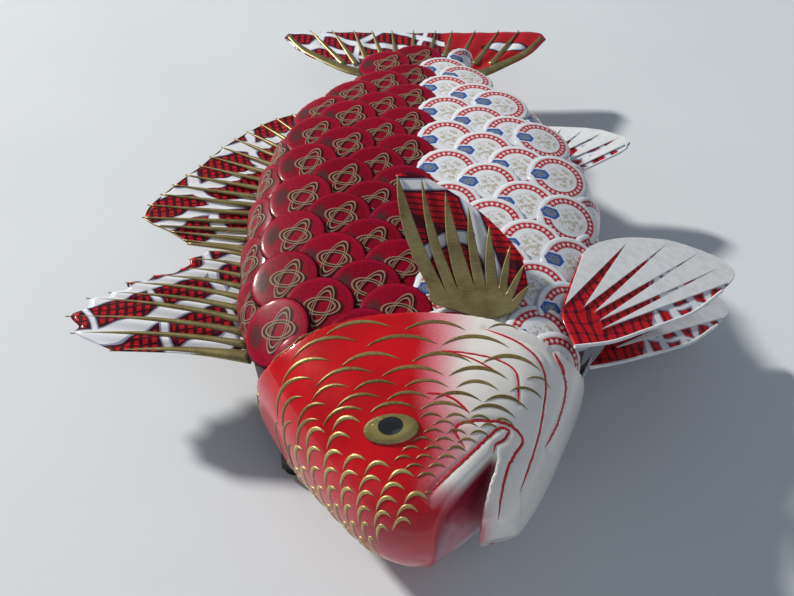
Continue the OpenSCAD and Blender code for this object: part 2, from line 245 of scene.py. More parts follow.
def crimson_cap_paint():
    p = Paint("crimson_cap_print")
    x, y, _ = p.split(p.face)
    radius = length(x, y)
    scuff = p.noise(0.45, 4)
    weave = p.noise(1.5, 3, 0.65)
    ground = p.attribute("seed").mix((0.25, 0.002, 0.018), (0.34, 0.0025, 0.025))
    ground = (weave.step(0.42, 0.65) * 0.7).mix(ground, (0.085, 0.002, 0.009))
    # a knot of two crossing ovals, drawn as double lines with a shaded side
    knot = ((0.56, 0.22, 64), (0.42, 0.24, -14))
    strokes = [oval_line(x - 0.10, y, *oval) for oval in knot]
    shades = [oval_line(x - 0.18, y + 0.05, *oval) for oval in knot]
    shaded = most(*[line.step(0.10, 0.06) for line in shades])
    colour = (shaded * 0.85).mix(ground, (0.012, 0.004, 0.005))
    filled = most(*[line.step(0.045, 0.035) for line in strokes])
    colour = (filled * 0.8).mix(colour, (0.07, 0.008, 0.012))
    # a faded leaf beside the knot
    leaf = length(x + 0.58, (y - 0.05) * 0.66) + (weave - 0.5) * 0.7
    colour = (leaf.step(0.24, 0.16) * 0.8).mix(colour, (0.050, 0.030, 0.030))
    drawn = most(*[line.near(0.050, 0.017, 0.014) for line in strokes])
    colour = (drawn * 0.9).mix(colour, (0.34, 0.26, 0.165))
    # the skirt, a little lighter, and a near-black rim painted as shade between the overlapping
    # caps
    colour = (radius.step(0.80, 0.85) * 0.35).mix(colour, (0.40, 0.006, 0.035))
    colour = (radius.step(0.925, 0.96) * 0.95).mix(colour, (0.012, 0.002, 0.003))
    p.bump(scuff, 0.12)
    return p.finish(colour, scuff * 0.22 + 0.26, Specular_IOR_Level=0.06, Coat_Weight=0.10,
                    Coat_Roughness=0.12)


def white_cap_paint():
    p = Paint("white_cap_print")
    x, y, _ = p.split(p.face)
    radius = length(x, y)
    scuff = p.noise(0.45, 4)
    ground = scuff.fade(0.3, 0.8, (0.86, 0.88, 0.92), (0.74, 0.77, 0.83))
    # a red band with a row of white lozenges
    middle = 0.70
    band = radius.near(middle, 0.105, 0.01)
    beat = ((y.math("ARCTAN2", x) + 3.2) * 4.46).math("FRACT")
    lozenge = (abs(radius - middle) * 5.2 + abs(beat - 0.5)).step(0.42, 0.33)
    red = scuff.fade(0.3, 0.7, (0.55, 0.022, 0.040), (0.46, 0.025, 0.042))
    colour = band.mix(ground, red)
    colour = (band * lozenge * 0.85).mix(colour, (0.80, 0.74, 0.76))
    colour = (radius.near(0.585, 0.008) * 0.5).mix(colour, (0.42, 0.33, 0.16))
    # the blue hexagonal shield on the left
    high = abs(y - 0.02)
    shield = most(high * 0.55 + abs(x + 0.60) * 0.86, high * 1.35)
    blue = p.noise(1.6, 3).fade(0.40, 0.60, (0.060, 0.13, 0.34), (0.30, 0.30, 0.27))
    colour = shield.fade(0.34, 0.325, colour, (0.80, 0.83, 0.88))
    colour = shield.fade(0.275, 0.26, colour, (0.035, 0.11, 0.40))
    colour = shield.fade(0.195, 0.16, colour, blue)
    # the beige rosette in the middle
    off = x - 0.08
    core = length(off, y)
    petals = (y.math("ARCTAN2", off) * 5.0 + core * 9.0).math("SINE")
    relief = petals * 0.035 + p.noise(7.0, 4, 0.65, p.face)
    cloth = relief.step(0.46, 0.54) * core.step(0.42, 0.36)
    beige = most(cloth * 0.75, core.near(0.43, 0.012) * 0.5)
    colour = (beige * shield.step(0.33, 0.36)).mix(colour, (0.46, 0.39, 0.25))
    colour = (radius.near(0.825, 0.010) * 0.6).mix(colour, (0.48, 0.32, 0.15))
    # a bluish-grey rim, painted as shade between the overlapping caps
    colour = (radius.step(0.94, 0.975) * 0.7).mix(colour, (0.36, 0.42, 0.52))
    p.bump(scuff, 0.10)
    rough = (p.attribute("seed") * 0.2 + scuff) * 0.2 + 0.20
    return p.finish(colour, rough, Specular_IOR_Level=0.15, Coat_Weight=0.5,
                    Coat_Roughness=0.06)


# ---------------------------------------------------------------- paints of the fin sheets
def nearest_band(value, period, half=0.0):
    """How far outside the nearest of a set of even bands a value lies, in mm."""
    beat = abs((value / period).math("FRACT") - 0.5)
    return beat * period - half


def check_cloth(u, v, turn, fine):
    """Red squares on a maroon ground; turn is the way they run, in degrees."""
    cell = 4.2
    x, y = turned(u, v, turn)
    bars = most(*[nearest_band(value, period).step(share - 0.15, share + 0.15)
                  for value, period, share in ((x, cell, cell * 0.28),
                                               (y, cell * 0.75, cell * 0.26))])
    red = fine.fade(0.3, 0.7, (0.44, 0.004, 0.009), (0.58, 0.006, 0.013))
    return bars.mix(red, (0.050, 0.002, 0.007))


def scrolls(p, u, v, bands, warp):
    """How far outside the nearest of several sets of wandering bands a point lies, in mm."""
    drift = p.noise(0.028, 1.0, at=p.face) * warp
    other = p.noise(0.033, 1.0, at=p.join(v, u, 9.0)) * (-0.7 * warp)
    return least(*[nearest_band(drift + other + turned(u, v, angle)[0] + shift, period, half)
                   for angle, period, half, shift in bands])


def lay_scrolls(off, colour):
    colour = off.fade(1.5, 1.2, colour, (0.050, 0.002, 0.008))
    colour = off.fade(0.45, 0.25, colour, (0.30, 0.31, 0.44))
    return off.fade(-0.25, -0.5, colour, (0.78, 0.80, 0.84))


def sheet_start(name):
    """A fin sheet's paint, its two plan coordinates in mm and its fine grain."""
    p = Paint(name)
    u, v, _ = p.split(p.face)
    return p, u, v, p.noise(0.8, 3, at=p.face)


def sheet_finish(p, colour, fine):
    p.bump(fine, 0.10)
    return p.finish(colour, fine * 0.22 + 0.20, Specular_IOR_Level=0.15, Coat_Weight=0.25,
                    Coat_Roughness=0.08)


def fin_paint(name, turn, bands, warp, plain=None):
    """Checked cloth crossed by white scrolls. bands lists angle, period, half width and shift
    in degrees and mm; plain is an x beyond which the sheet is bare red with one white oval."""
    p, u, v, fine = sheet_start(name)
    colour = lay_scrolls(scrolls(p, u, v, bands, warp), check_cloth(u, v, turn, fine))
    if plain is not None:
        bare = fine.fade(0.3, 0.7, (0.40, 0.006, 0.012), (0.50, 0.008, 0.016))
        oval = length((u - (plain + 41.0)) / 13.0, (v - 186.0) / 5.0)
        bare = lay_scrolls((oval - 1.0) * 5.0, bare)
        colour = u.fade(plain - 0.3, plain + 0.3, colour, bare)
    return sheet_finish(p, colour, fine)


def tartan_paint(name, corner, slope, tilt):
    """Red cloth with dark cross bands, turning to white with red squares past a slanting line.

    The line starts at x = corner where y = 0 and leans by slope; the bands lean by tilt.
    """
    p, u, v, fine = sheet_start(name)
    pitch = 5.0
    bend = (p.noise(0.05, 1.0, at=p.face) - 0.5) * 10.0
    x = v * tilt + u + bend
    y = u * -0.3 + v + bend
    rows = nearest_band(x, pitch).step(pitch * 0.30, pitch * 0.36) * 0.75
    posts = nearest_band(y, pitch * 1.3).step(pitch * 0.5, pitch * 0.56) * 0.5
    red = fine.fade(0.3, 0.7, (0.50, 0.005, 0.012), (0.62, 0.008, 0.016))
    cloth = rows.math("ADD", posts, clamp=True).mix(red, (0.050, 0.002, 0.010))
    square = most(nearest_band(x, pitch * 2.3, pitch * 0.68),
                  nearest_band(y, pitch * 2.1, pitch * 0.80))
    white = square.fade(0.6, 0.3, (0.76, 0.78, 0.82), (0.34, 0.35, 0.46))
    white = square.fade(-0.2, -0.5, white, cloth)
    past = v * slope + u - corner + bend * 0.8
    colour = past.fade(-0.7, -0.4, cloth, (0.30, 0.31, 0.42))
    return sheet_finish(p, past.fade(0.2, 0.5, colour, white), fine)


def pectoral_paint():
    """Red with fine dark stripes, a white arch with its stem, and a white bar near the tip."""
    p, u, v, fine = sheet_start("pectoral_sheet")
    stripe = nearest_band(u * 0.12 + v, 2.7).step(0.85, 1.05)
    red = fine.fade(0.3, 0.7, (0.50, 0.005, 0.012), (0.64, 0.008, 0.016))
    colour = (stripe * 0.85).mix(red, (0.055, 0.002, 0.010))
    colour = nearest_band(u * 0.5 + v, 21.0, 2.4).fade(0.2, -0.2, colour, (0.10, 0.003, 0.016))
    reach = length(u - 13.0, v - 10.0) + p.noise(0.06, 1.0, at=p.face) * 5.0
    arch = abs(reach - 17.5) - 2.6
    stem = abs(v * 0.35 + u - 33.5) - 2.8
    bar = abs(v - 50.0) - 2.5
    return sheet_finish(p, lay_scrolls(least(arch, stem, bar), colour), fine)


# ---------------------------------------------------------------- other paints
def brass_paint():
    p = Paint("satin_brass")
    u, v, _ = p.split(p.face)
    streak = p.noise(1.0, 3, at=p.join(u * 0.12, v * 2.6))
    speck = p.noise(1.4, 3)
    colour = p.noise(0.09, 4, 0.6).fade(0.35, 0.7, (0.34, 0.28, 0.125), (0.22, 0.16, 0.06))
    colour = (streak.step(0.5, 0.75) * 0.6).mix(colour, (0.46, 0.39, 0.21))
    colour = (speck.step(0.5, 0.75) * 0.3).mix(colour, (0.16, 0.10, 0.04))
    p.bump(speck * 0.4 + streak, 0.22, 0.0002)
    return p.finish(colour, streak * 0.28 + 0.24, Metallic=0.7)


def grain_paint(name, grain, ends, dark, light, bump, rough, stretch=None, **values):
    """Two colours mixed by one noise. grain is its scale and detail, ends where it starts and
    stops to turn light, rough the roughness's swing and base, stretch a squeeze of the noise."""
    p = Paint(name)
    at = stretch and p.node("ShaderNodeMapping", 0, {"Vector": p.here, "Scale": stretch})
    noise = p.noise(*grain, at=at)
    p.bump(noise, bump)
    return p.finish(noise.fade(*ends, dark, light), noise * rough[0] + rough[1], **values)


def floor_paint():
    p = Paint("pale_floor")
    return p.finish(p.noise(0.01, 3).mix((0.66, 0.70, 0.735), (0.72, 0.76, 0.795)), 0.75)


PAINT = {
    "lacquer": lacquer_paint(), "gold": gold_paint(), "iris": iris_paint(),
    "glass": glass_paint(), "crimson_cap": crimson_cap_paint(),
    "white_cap": white_cap_paint(), "brass": brass_paint(), "floor": floor_paint(),
    "line": grain_paint("red_line_enamel", (0.5, 2), (0.35, 0.7), (0.50, 0.002, 0.010),
                        (0.66, 0.004, 0.016), 0.15, (0.15, 0.15), Coat_Weight=0.6),
    "white": grain_paint("white_sheet", (0.25, 5), (0.35, 0.7), (0.86, 0.87, 0.88),
                         (0.74, 0.76, 0.78), 0.08, (0.25, 0.25)),
    "core": grain_paint("painted_core", (0.5, 5), (0.3, 0.7), (0.012, 0.003, 0.003),
                        (0.035, 0.005, 0.006), 0.4, (0.3, 0.45), (1, 0.12, 1)),
    "board": grain_paint("black_board", (0.7, 5), (0.35, 0.7), (0.012, 0.011, 0.010),
                         (0.032, 0.028, 0.025), 0.35, (0.3, 0.35), (1, 0.08, 1)),
    "rubber": grain_paint("foot_rubber", (0.8, 4), (0.45, 0.8), (0.012, 0.012, 0.013),
                          (0.05, 0.05, 0.052), 0.3, (0.2, 0.55)),
    "spiny": fin_paint("spiny_sheet", 8, [(112, 25, 3.9, 0), (25, 31, 1.6, 0)], 18),
    "soft": fin_paint("soft_sheet", 14, [(112, 26, 3.6, 11), (20, 38, 3.0, 6)], 20),
    "tail": fin_paint("tail_sheet", 0, [(72, 17, 2.6, 4), (-20, 34, 2.0, 9)], 20, plain=20.0),
    "anal": tartan_paint("anal_sheet", 75, 0.33, 0.3),
    "pelvic": tartan_paint("pelvic_sheet", 115, -0.15, 0.25),
    "pectoral": pectoral_paint(),
}


# ---------------------------------------------------------------- curves and meshes
def through(knots, y):
    """Smooth curve through knots [y, value], read at every y."""
    k = np.asarray(knots, float)
    y = np.clip(np.asarray(y, float), k[0, 0], k[-1, 0])
    i = np.clip(np.searchsorted(k[:, 0], y, side="right") - 1, 0, len(k) - 2)
    low = np.maximum(np.arange(len(k)) - 1, 0)
    high = np.minimum(np.arange(len(k)) + 1, len(k) - 1)
    slope = (k[high, 1] - k[low, 1]) / (k[high, 0] - k[low, 0])
    h = k[i + 1, 0] - k[i, 0]
    s = (y - k[i, 0]) / h
    return (k[i, 1] * (2 * s**3 - 3 * s**2 + 1) + h * slope[i] * (s**3 - 2 * s**2 + s)
            + k[i + 1, 1] * (3 * s**2 - 2 * s**3) + h * slope[i + 1] * (s**3 - s**2))


def run_of(points):
    """Length along a line of points, at every point."""
    return np.r_[0, np.cumsum(np.linalg.norm(np.diff(points, axis=0), axis=1))]


def path(points, count):
    """count points spread evenly along a smooth curve through the given points."""
    points = np.asarray(points, float)
    if len(points) == 2:
        return points[0] + np.linspace(0, 1, count)[:, None] * (points[1] - points[0])
    chord = run_of(points)
    fine = np.linspace(0, chord[-1], count * 6)
    drawn = np.stack([through(np.c_[chord, values], fine) for values in points.T], 1)
    run = run_of(drawn)
    even = np.linspace(0, run[-1], count)
    return np.stack([np.interp(even, run, values) for values in drawn.T], 1)


def unit(v):
    return v / np.maximum(np.linalg.norm(v, axis=-1, keepdims=True), 1e-9)


def ramp(value, start, run):
    """0 up to start, rising to 1 over the run."""
    return np.clip((value - start) / run, 0, 1)


def full_turn(count):
    return np.linspace(0, 2 * math.pi, count, endpoint=False)


def signed_power(value, power):
    """The value's size raised to a power, under its own sign."""
    return np.sign(value) * np.abs(value) ** power


def placed(name, data):
    """A scene object that shows the data."""
    made = bpy.data.objects.new(name, data)
    bpy.context.scene.collection.objects.link(made)
    return made


def mesh_of(name, points, faces):
    """A mesh from points in millimetres, its faces not yet turned outward."""
    mesh = bpy.data.meshes.new(name)
    mesh.from_pydata(to_frame(points).tolist(), [], [list(map(int, f)) for f in faces])
    return mesh


def outward(mesh):
    """Turns every face of the closed mesh to look outward."""
    work = bmesh.new()
    work.from_mesh(mesh)
    bmesh.ops.recalc_face_normals(work, faces=work.faces)
    work.to_mesh(mesh)
    work.free()


def mark(mesh, key, values):
    """A named number at every vertex, for the paints."""
    layer = mesh.attributes.new(key, "FLOAT", "POINT")
    layer.data.foreach_set("value", np.asarray(values, float))


def hang(name, mesh, paint, stands_for=(), smooth=True):
    """Paints the mesh and hangs it on the one body."""
    mesh.polygons.foreach_set("use_smooth", [smooth] * len(mesh.polygons))
    made = placed(name, mesh)
    mesh.materials.append(PAINT[paint])
    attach(made, "root")
    if stands_for:
        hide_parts(*stands_for)
    return made


def piece(name, points, faces, paint, uv, seeds=None, smooth=True, stands_for=()):
    """Makes a closed piece from points in millimetres."""
    mesh = mesh_of(name, points, faces)
    corner = np.empty(len(mesh.loops), int)
    mesh.loops.foreach_get("vertex_index", corner)
    layer = mesh.uv_layers.new(name="Face")
    layer.data.foreach_set("uv", np.asarray(uv, float)[corner].ravel())
    if seeds is not None:
        mark(mesh, "seed", seeds)
    outward(mesh)
    hang(name, mesh, paint, stands_for, smooth)


class Batch:
    """Several closed shells gathered into one piece. A shell's seed varies its paint."""

    def __init__(self):
        self.points, self.faces, self.uv, self.seeds, self.count = [], [], [], [], 0

    def add(self, points, faces, uv, seed):
        points = np.asarray(points, float).reshape(-1, 3)
        self.faces += [[i + self.count for i in f] for f in faces]
        self.points.append(points)
        self.uv.append(np.asarray(uv).reshape(-1, 2))
        self.seeds.append(np.full(len(points), seed))
        self.count += len(points)

    def make(self, name, paint, slot, stands_for=(), smooth=True):
        piece(name, np.concatenate(self.points), self.faces, paint,
              np.concatenate(self.uv), np.concatenate(self.seeds), smooth, stands_for)


def tube_faces(rings, sides):
    """Closed skin over rings of points, with flat ends."""
    faces = [[j * sides + i, j * sides + (i + 1) % sides,
              (j + 1) * sides + (i + 1) % sides, (j + 1) * sides + i]
             for j in range(rings - 1) for i in range(sides)]
    last = (rings - 1) * sides
    return faces + [list(range(sides - 1, -1, -1)), list(range(last, last + sides))]


def plate_faces(rows, cols):
    """Closed plate over a top grid of points followed by a bottom grid."""
    n = rows * cols
    faces = []
    for j in range(rows - 1):
        for i in range(cols - 1):
            a, b = j * cols + i, (j + 1) * cols + i
            faces += [[a, a + 1, b + 1, b], [n + a, n + b, n + b + 1, n + a + 1]]
    rim = ([i for i in range(cols)] + [j * cols + cols - 1 for j in range(1, rows)]
           + [(rows - 1) * cols + i for i in range(cols - 2, -1, -1)]
           + [j * cols for j in range(rows - 2, 0, -1)])
    return faces + [[a, n + a, n + b, b] for a, b in zip(rim, rim[1:] + rim[:1])]


# ---------------------------------------------------------------- the fish's two main skins
# Each curve lists y and a value there: the x of the two edges, the half thickness, and the
# roundness of the section, where 2 is an ellipse and more is boxier.
BODY = dict(
    back=[[-125, -72], [-80, -86], [-30, -89], [20, -86], [65, -73], [96, -52.5], [117, -40.5],
          [140, -35], [165, -37], [178, -40]],
    belly=[[-125, 66], [-80, 81], [-30, 90], [10, 91], [65, 74], [96, 55.5], [117, 39],
           [140, 34.5], [165, 39], [178, 42]],
    half=[[-125, 37], [-60, 37.5], [-10, 37], [40, 34], [80, 29], [110, 24], [140, 19],
          [178, 16]],
    power=[[-125, 3.6], [178, 3.6]])
HEAD = dict(
    back=[[-194.5, -5], [-192.5, -14], [-189, -21], [-183, -28.5], [-177, -34], [-165, -44.5],
          [-149, -57], [-125, -71], [-107, -79], [-90, -86]],
    belly=[[-194.5, 0], [-192.5, 12], [-190.5, 24], [-188, 30], [-182, 36], [-165, 47.5],
           [-140, 60], [-125, 67], [-107, 74], [-90, 81]],
    half=[[-194.5, 4], [-192.5, 12], [-189, 18.5], [-183, 24.5], [-177, 28.5], [-165, 33.5],
          [-149, 38], [-125, 40.5], [-107, 41], [-90, 41]],
    power=[[-195, 2.3], [-160, 2.3], [-105, 3.6], [-90, 3.6]])


def power_at(form, y):
    return np.interp(y, *np.array(form["power"]).T)


def plan_at(form, y, inset=0.0):
    """Middle x and half width of a form at y."""
    left, right = through(form["back"], y) + inset, through(form["belly"], y) - inset
    return (left + right) / 2, (right - left) / 2


def section(form, y, angle, inset=0.0, thinner=0.0, share=1.0):
    """x and z of a section at y; angle runs from the top ridge over the belly side.

    inset and thinner are taken off the half width and half thickness, share is what is left
    of the thickness after that.
    """
    middle, wide = plan_at(form, y, inset)
    half = (through(form["half"], y) - thinner) * share
    power = 2 / power_at(form, y)
    up = signed_power(np.cos(angle), power)
    return (middle + wide * signed_power(np.sin(angle), power),
            MID_Z + half * np.where(up > 0, up, LOW * up))


class Skin:
    """A form's surface read by s, the way round from the top ridge, and by y, both in mm."""

    def __init__(self, form):
        reach = 150.0
        self.ys = np.arange(form["back"][0][0], form["back"][-1][0] + 0.5, 1.0)
        self.ss = np.arange(-reach, reach + 0.5, 1.0)
        quarter = 180
        angle = np.linspace(0, 2 * math.pi, 4 * quarter + 1)
        rows, edge = [], []
        for y in self.ys:
            x, z = section(form, y, angle)
            arc = np.r_[0, np.cumsum(np.hypot(np.diff(x), np.diff(z)))]
            turn = self.ss % arc[-1]
            rows.append(np.stack([np.interp(turn, arc, x), np.full(len(turn), y),
                                  np.interp(turn, arc, z)], 1))
            edge.append(arc[quarter])
        self.grid = np.array(rows)
        self.edge = np.array(edge)
        self.normals = unit(np.cross(np.gradient(self.grid, axis=1),
                                     np.gradient(self.grid, axis=0)))

    def at(self, s, y):
        """Points and outward normals."""
        s, y = np.broadcast_arrays(np.asarray(s, float), np.asarray(y, float))
        fs = np.clip(s - self.ss[0], 0, len(self.ss) - 1.001)
        fy = np.clip(y - self.ys[0], 0, len(self.ys) - 1.001)
        i, j = fs.astype(int), fy.astype(int)
        fs, fy = (fs - i)[..., None], (fy - j)[..., None]

        def read(g):
            return ((g[j, i] * (1 - fs) + g[j, i + 1] * fs) * (1 - fy)
                    + (g[j + 1, i] * (1 - fs) + g[j + 1, i + 1] * fs) * fy)
        return read(self.grid), unit(read(self.normals))

    def s_of(self, x, y):
        """The way round to the plan point x, y of the upper side."""
        j = int(round(np.clip(y - self.ys[0], 0, len(self.ys) - 1)))
        upper = np.abs(self.ss) <= self.edge[j]
        return float(np.interp(x, self.grid[j, upper, 0], self.ss[upper]))

    def edge_at(self, y):
        """The way round to the belly edge."""
        return float(np.interp(y, self.ys, self.edge))


body = Skin(BODY)
head = Skin(HEAD)

# the head's rear rim: where it starts, how far its sides sweep forward and bow, its wall
RIM_Y, SWEEP, BOW, WALL = -102.0, 17.0, 9.0, 1.8


def rim_sweep(u):
    """How far forward the rear rim lies at a share u of the half width."""
    return u**2 * (SWEEP + BOW * (1 - u**8))


def make_core():
    """The core under the caps. It thins to a tongue that carries the tail fin."""
    sides = 96
    stations = np.r_[-122, np.arange(-112, 138, 10), np.arange(138, 169, 5)]
    rings = []
    for y in stations:
        thin = ramp(y, 136, 24)
        x, z = section(BODY, y, math.pi / 2 - full_turn(sides), 4, 3, 1 - 0.74 * thin)
        rings.append(np.stack([x, np.full(sides, float(y)), z - 2.5 * thin], 1))
    points = np.concatenate(rings)
    batch = Batch()
    batch.add(points, tube_faces(len(rings), sides), points[:, :2].copy(), 0.5)
    batch.make("painted_core", "core", "core_wood", ("body_core",))


make_core()

# ---------------------------------------------------------------- caps
CAP_RADIUS = 16.5
# radius and height, from the middle of the top over the rim and back underneath
CAP_PROFILE = [(6, 0.28), (11, 0.22), (14.0, 0.1), (15.3, -0.05), (16.0, -0.35),
               (16.4, -0.75), (CAP_RADIUS, -1.15), (16.2, -1.4), (15.6, -1.35), (14.5, -0.8),
               (11, -0.5), (4, -0.4)]
CAP_SIDES, CRIMPS, CRIMPS_FROM = 42, 21, 14.3
CAP_TILT = math.tan(math.radians(8.5))
# caps ahead of this y may lie under the head's rear rim
RIM_CAPS_END = -90


def cap_shell():
    turn = full_turn(CAP_SIDES)
    rings = []
    for r, h in CAP_PROFILE:
        crimp = max(0.0, (r - CRIMPS_FROM) / (CAP_RADIUS - CRIMPS_FROM)) * np.cos(CRIMPS * turn)
        r = r + 0.14 * crimp
        rings.append(np.stack([r * np.sin(turn), r * np.cos(turn), h + 0.1 * crimp], 1))
    return np.concatenate(rings), tube_faces(len(rings), CAP_SIDES)


CAP_POINTS, CAP_FACES = cap_shell()


def under_rim(x, y):
    """Share of a cap at the plan point x, y that lies under the head's rear rim."""
    middle, wide = plan_at(HEAD, y)
    rim = RIM_Y - rim_sweep(min(1.0, abs(x - middle) / wide))
    return ramp(rim - y, -CAP_RADIUS + 0.5, 2 * CAP_RADIUS - 1)


def lay_cap(batch, s, y, lift=0.6, tilt=1.0, wrap=0.22):
    """Presses one cap on the body, tailward rim up, bent round it by the share wrap."""
    a, b, h = CAP_POINTS.T
    centre, normal = body.at(s, y)
    if y < RIM_CAPS_END and centre[2] > MID_Z:
        tucked = under_rim(centre[0], y)
        lift, wrap = lift - 3.2 * tucked, min(1.0, wrap + 1.2 * tucked)
    tail, _ = body.at(s, y + 1.0)
    along = unit((tail - centre) - np.dot(tail - centre, normal) * normal)
    across = np.cross(along, normal)
    rise = h + lift + b * CAP_TILT * tilt
    flat = centre + a[:, None] * across + b[:, None] * along + rise[:, None] * normal
    bent, normals = body.at(s + a, y + b)
    bent = bent + rise[:, None] * normals
    turn = math.radians(rng.uniform(-7, 7))
    u = (a * math.cos(turn) + b * math.sin(turn)) / CAP_RADIUS
    v = (b * math.cos(turn) - a * math.sin(turn)) / CAP_RADIUS
    batch.add(flat * (1 - wrap) + bent * wrap, CAP_FACES, np.c_[u, v], rng.random())


def cap_piece(name, batch):
    kind = "crimson_cap" if name.startswith(("crimson", "back")) else "white_cap"
    batch.make("laid_" + name, kind, kind, stands_for=(name,))


# the flank's columns, from the head to the tail: y of the first cap, pitch, growth of the
# pitch, number of caps, and knots of x against y
COLUMNS = {
    "crimson_caps_1": (-105, 28.3, 0, 7, [[-105, -64.5], [63, -55.5]]),
    "crimson_caps_2": (-124.5, 28.9, 0.09, 8,
                       [[-124, -52.5], [-95, -46.4], [-66, -42.4], [-37, -40.6], [81, -39.2]]),
    "crimson_caps_3": (-112.7, 27.3, 0.3, 9, [[-113, -27], [162, -19.3]]),
    "crimson_caps_4": (-99.1, 27.2, 0.22, 9, [[-99, -13], [110, -4], [150, 4]]),
    "white_caps_1": (-112.5, 27.5, 0.1, 9, [[-112, 10.5], [110, 16.5]]),
    "white_caps_2": (-100.2, 29.1, 0, 8, [[-100, 32.2], [80, 32.2], [115, 27]]),
    "white_caps_3": (-110.4, 25.65, 0.67, 7, [[-110, 48.8], [40, 49], [80, 44]]),
    "white_caps_4": (-122.8, 27.06, 0.77, 6,
                     [[-123, 56], [-95, 62.7], [-66, 68], [-35, 70], [0, 69], [32, 65]]),
}
# the edges' rows: side, share of the half width, or of the way to the edge if over 1, and
# the y of every cap
EDGE_CAPS = {
    "back_edge_caps": (-1, 0.955, [-86, -56, -26, 4, 31, 57, 82, 106, 131]),
    "belly_edge_caps": (1, 0.955, [-54, -25, 5, 33, 60, 86, 110, 138]),
    "crimson_caps_under": (-1, 1.2, [-72, -43, -14, 15, 43, 70, 95, 117]),
    "white_caps_under": (1, 1.2, [-99, -70, -41, -12, 17, 46, 73, 98]),
}


def make_caps():
    for name, (first, pitch, growth, count, knots) in COLUMNS.items():
        batch = Batch()
        for i in range(count):
            y = first + pitch * i + growth * i * i
            lay_cap(batch, body.s_of(through(knots, y), y), y)
        cap_piece(name, batch)
    for name, (side, share, rows) in EDGE_CAPS.items():
        batch = Batch()
        for y in rows:
            middle, wide = plan_at(BODY, y)
            s = (body.s_of(middle + side * share * wide, y) if share < 1
                 else side * share * body.edge_at(y))
            lay_cap(batch, s, y, lift=-0.9, tilt=0.9, wrap=0.95)
        cap_piece(name, batch)


make_caps()

# ---------------------------------------------------------------- head
HEAD_SIDES = 160
FRONT_Y = [-194.5, -193.9, -193.2, -192.4, -191.4, -190.2, -189, -187.5, -186, -184, -182, -180,
           -177.5, -175, -172, -169, -166, -163, -159, -155, -151, -147, -143, -139, -135.5, -132]
UPPER_LIP = [[25.0, -165.5], [22, -168.2], [17, -172.6], [10, -178.6], [4, -184], [0, -190],
             [-1, -197]]
LOWER_LIP = [[26.0, -166.6], [24.4, -172], [22.2, -178], [20.6, -184], [19.9, -190],
             [19.9, -197]]
# the cutting forms run past the head to these limits
PAST_SNOUT, PAST_BELLY, BELOW_HEAD, ABOVE_HEAD = -212, 80, -5, 105
MOUTH = UPPER_LIP + [[0, PAST_SNOUT], [20, PAST_SNOUT]] + LOWER_LIP[::-1]


def head_ring(y, sweep, inset):
    """A ring of the head at y; its sides lie forward by a share of the rear rim's sweep."""
    turn = full_turn(HEAD_SIDES)
    u = signed_power(np.sin(turn), 2 / power_at(HEAD, y))
    ys = y - sweep * rim_sweep(u)
    middle, wide = plan_at(HEAD, ys, inset)
    half = through(HEAD["half"], ys) - inset
    power = power_at(HEAD, ys)
    up = np.clip(1 - np.abs(u) ** power, 0, 1) ** (1 / power)
    return np.stack([middle + wide * u, ys,
                     MID_Z + half * np.where(np.cos(turn) > 0, up, -LOW * up)], 1)


def solid(name, points, faces):
    mesh = mesh_of(name, points, faces)
    outward(mesh)
    return placed(name, mesh)


def lip(line, z, starts, move):
    """A lip's plan line at height z, moved most at the middle plane and toward the snout."""
    line = path(line, 30)
    reach = through(HEAD["half"], line[:, 1]) * (1 if z > MID_Z else LOW)
    full = np.sqrt(np.clip(1 - ((z - MID_Z) / reach) ** 2, 0, 1))
    grow = ramp(starts - line[:, 1], 0, 20)
    return line + (full * grow)[:, None] * np.array(move)


def mouth_section(z):
    """The mouth's plan outline at height z. Both jaws are full at the middle and round off."""
    plan = np.concatenate([lip(UPPER_LIP, z, -165, (3.2, -2.2)),
                           [[2, PAST_SNOUT], [26, PAST_SNOUT]],
                           lip(LOWER_LIP, z, -167, (-1.0, 0.0))[::-1]])
    return np.c_[plan, np.full(len(plan), z)]


def jaw_section(z):
    """What the lower jaw lacks at height z: it ends short of the snout and curves up below."""
    low = ramp(MID_Z + 1 - z, 0, 25)
    tip, near = -188.0 + 11 * low, 18.5 + 2 * low
    return np.array([[near, PAST_SNOUT, z], [PAST_BELLY, PAST_SNOUT, z],
                     [PAST_BELLY, tip + 14, z], [near, tip, z]], float)


def cut_from(form, name, plan, heights):
    """Cuts from the form what the plan sections at these heights span; gives the cutter."""
    points = np.concatenate([plan(z) for z in heights])
    cutter = solid(name, points, tube_faces(len(heights), len(points) // len(heights)))
    cut = form.modifiers.new(name, "BOOLEAN")
    cut.operation, cut.object, cut.solver = "DIFFERENCE", cutter, "EXACT"
    return cutter


def head_mesh():
    """The head's shell with its open mouth and the hollow behind the rear rim."""
    front_end, depth = FRONT_Y[-1], 24
    rings = [head_ring(y, 0, 0) for y in FRONT_Y]
    rings += [head_ring(front_end + (RIM_Y - front_end) * t, t, 0)
              for t in np.linspace(0.1, 1, 10)]
    rings += [head_ring(RIM_Y - depth * t, 1 - t, WALL) for t in np.linspace(0, 1, 5)]
    form = solid("head_form", np.concatenate(rings), tube_faces(len(rings), HEAD_SIDES))
    mouth = cut_from(form, "mouth_form", mouth_section,
                     np.r_[BELOW_HEAD, np.linspace(4, 90, 44), ABOVE_HEAD])
    jaw = cut_from(form, "jaw_form", jaw_section,
                   (BELOW_HEAD, MID_Z - 24, MID_Z - 12, MID_Z + 1, ABOVE_HEAD))
    voxel = form.modifiers.new("even", "REMESH")
    voxel.mode, voxel.voxel_size = "VOXEL", (0.0009)
    soft = form.modifiers.new("soft", "SMOOTH")
    soft.factor, soft.iterations = 0.5, (9)
    ready = form.evaluated_get(bpy.context.evaluated_depsgraph_get())
    mesh = bpy.data.meshes.new_from_object(ready)
    for spare in (form, mouth, jaw):
        bpy.data.objects.remove(spare)
    return mesh


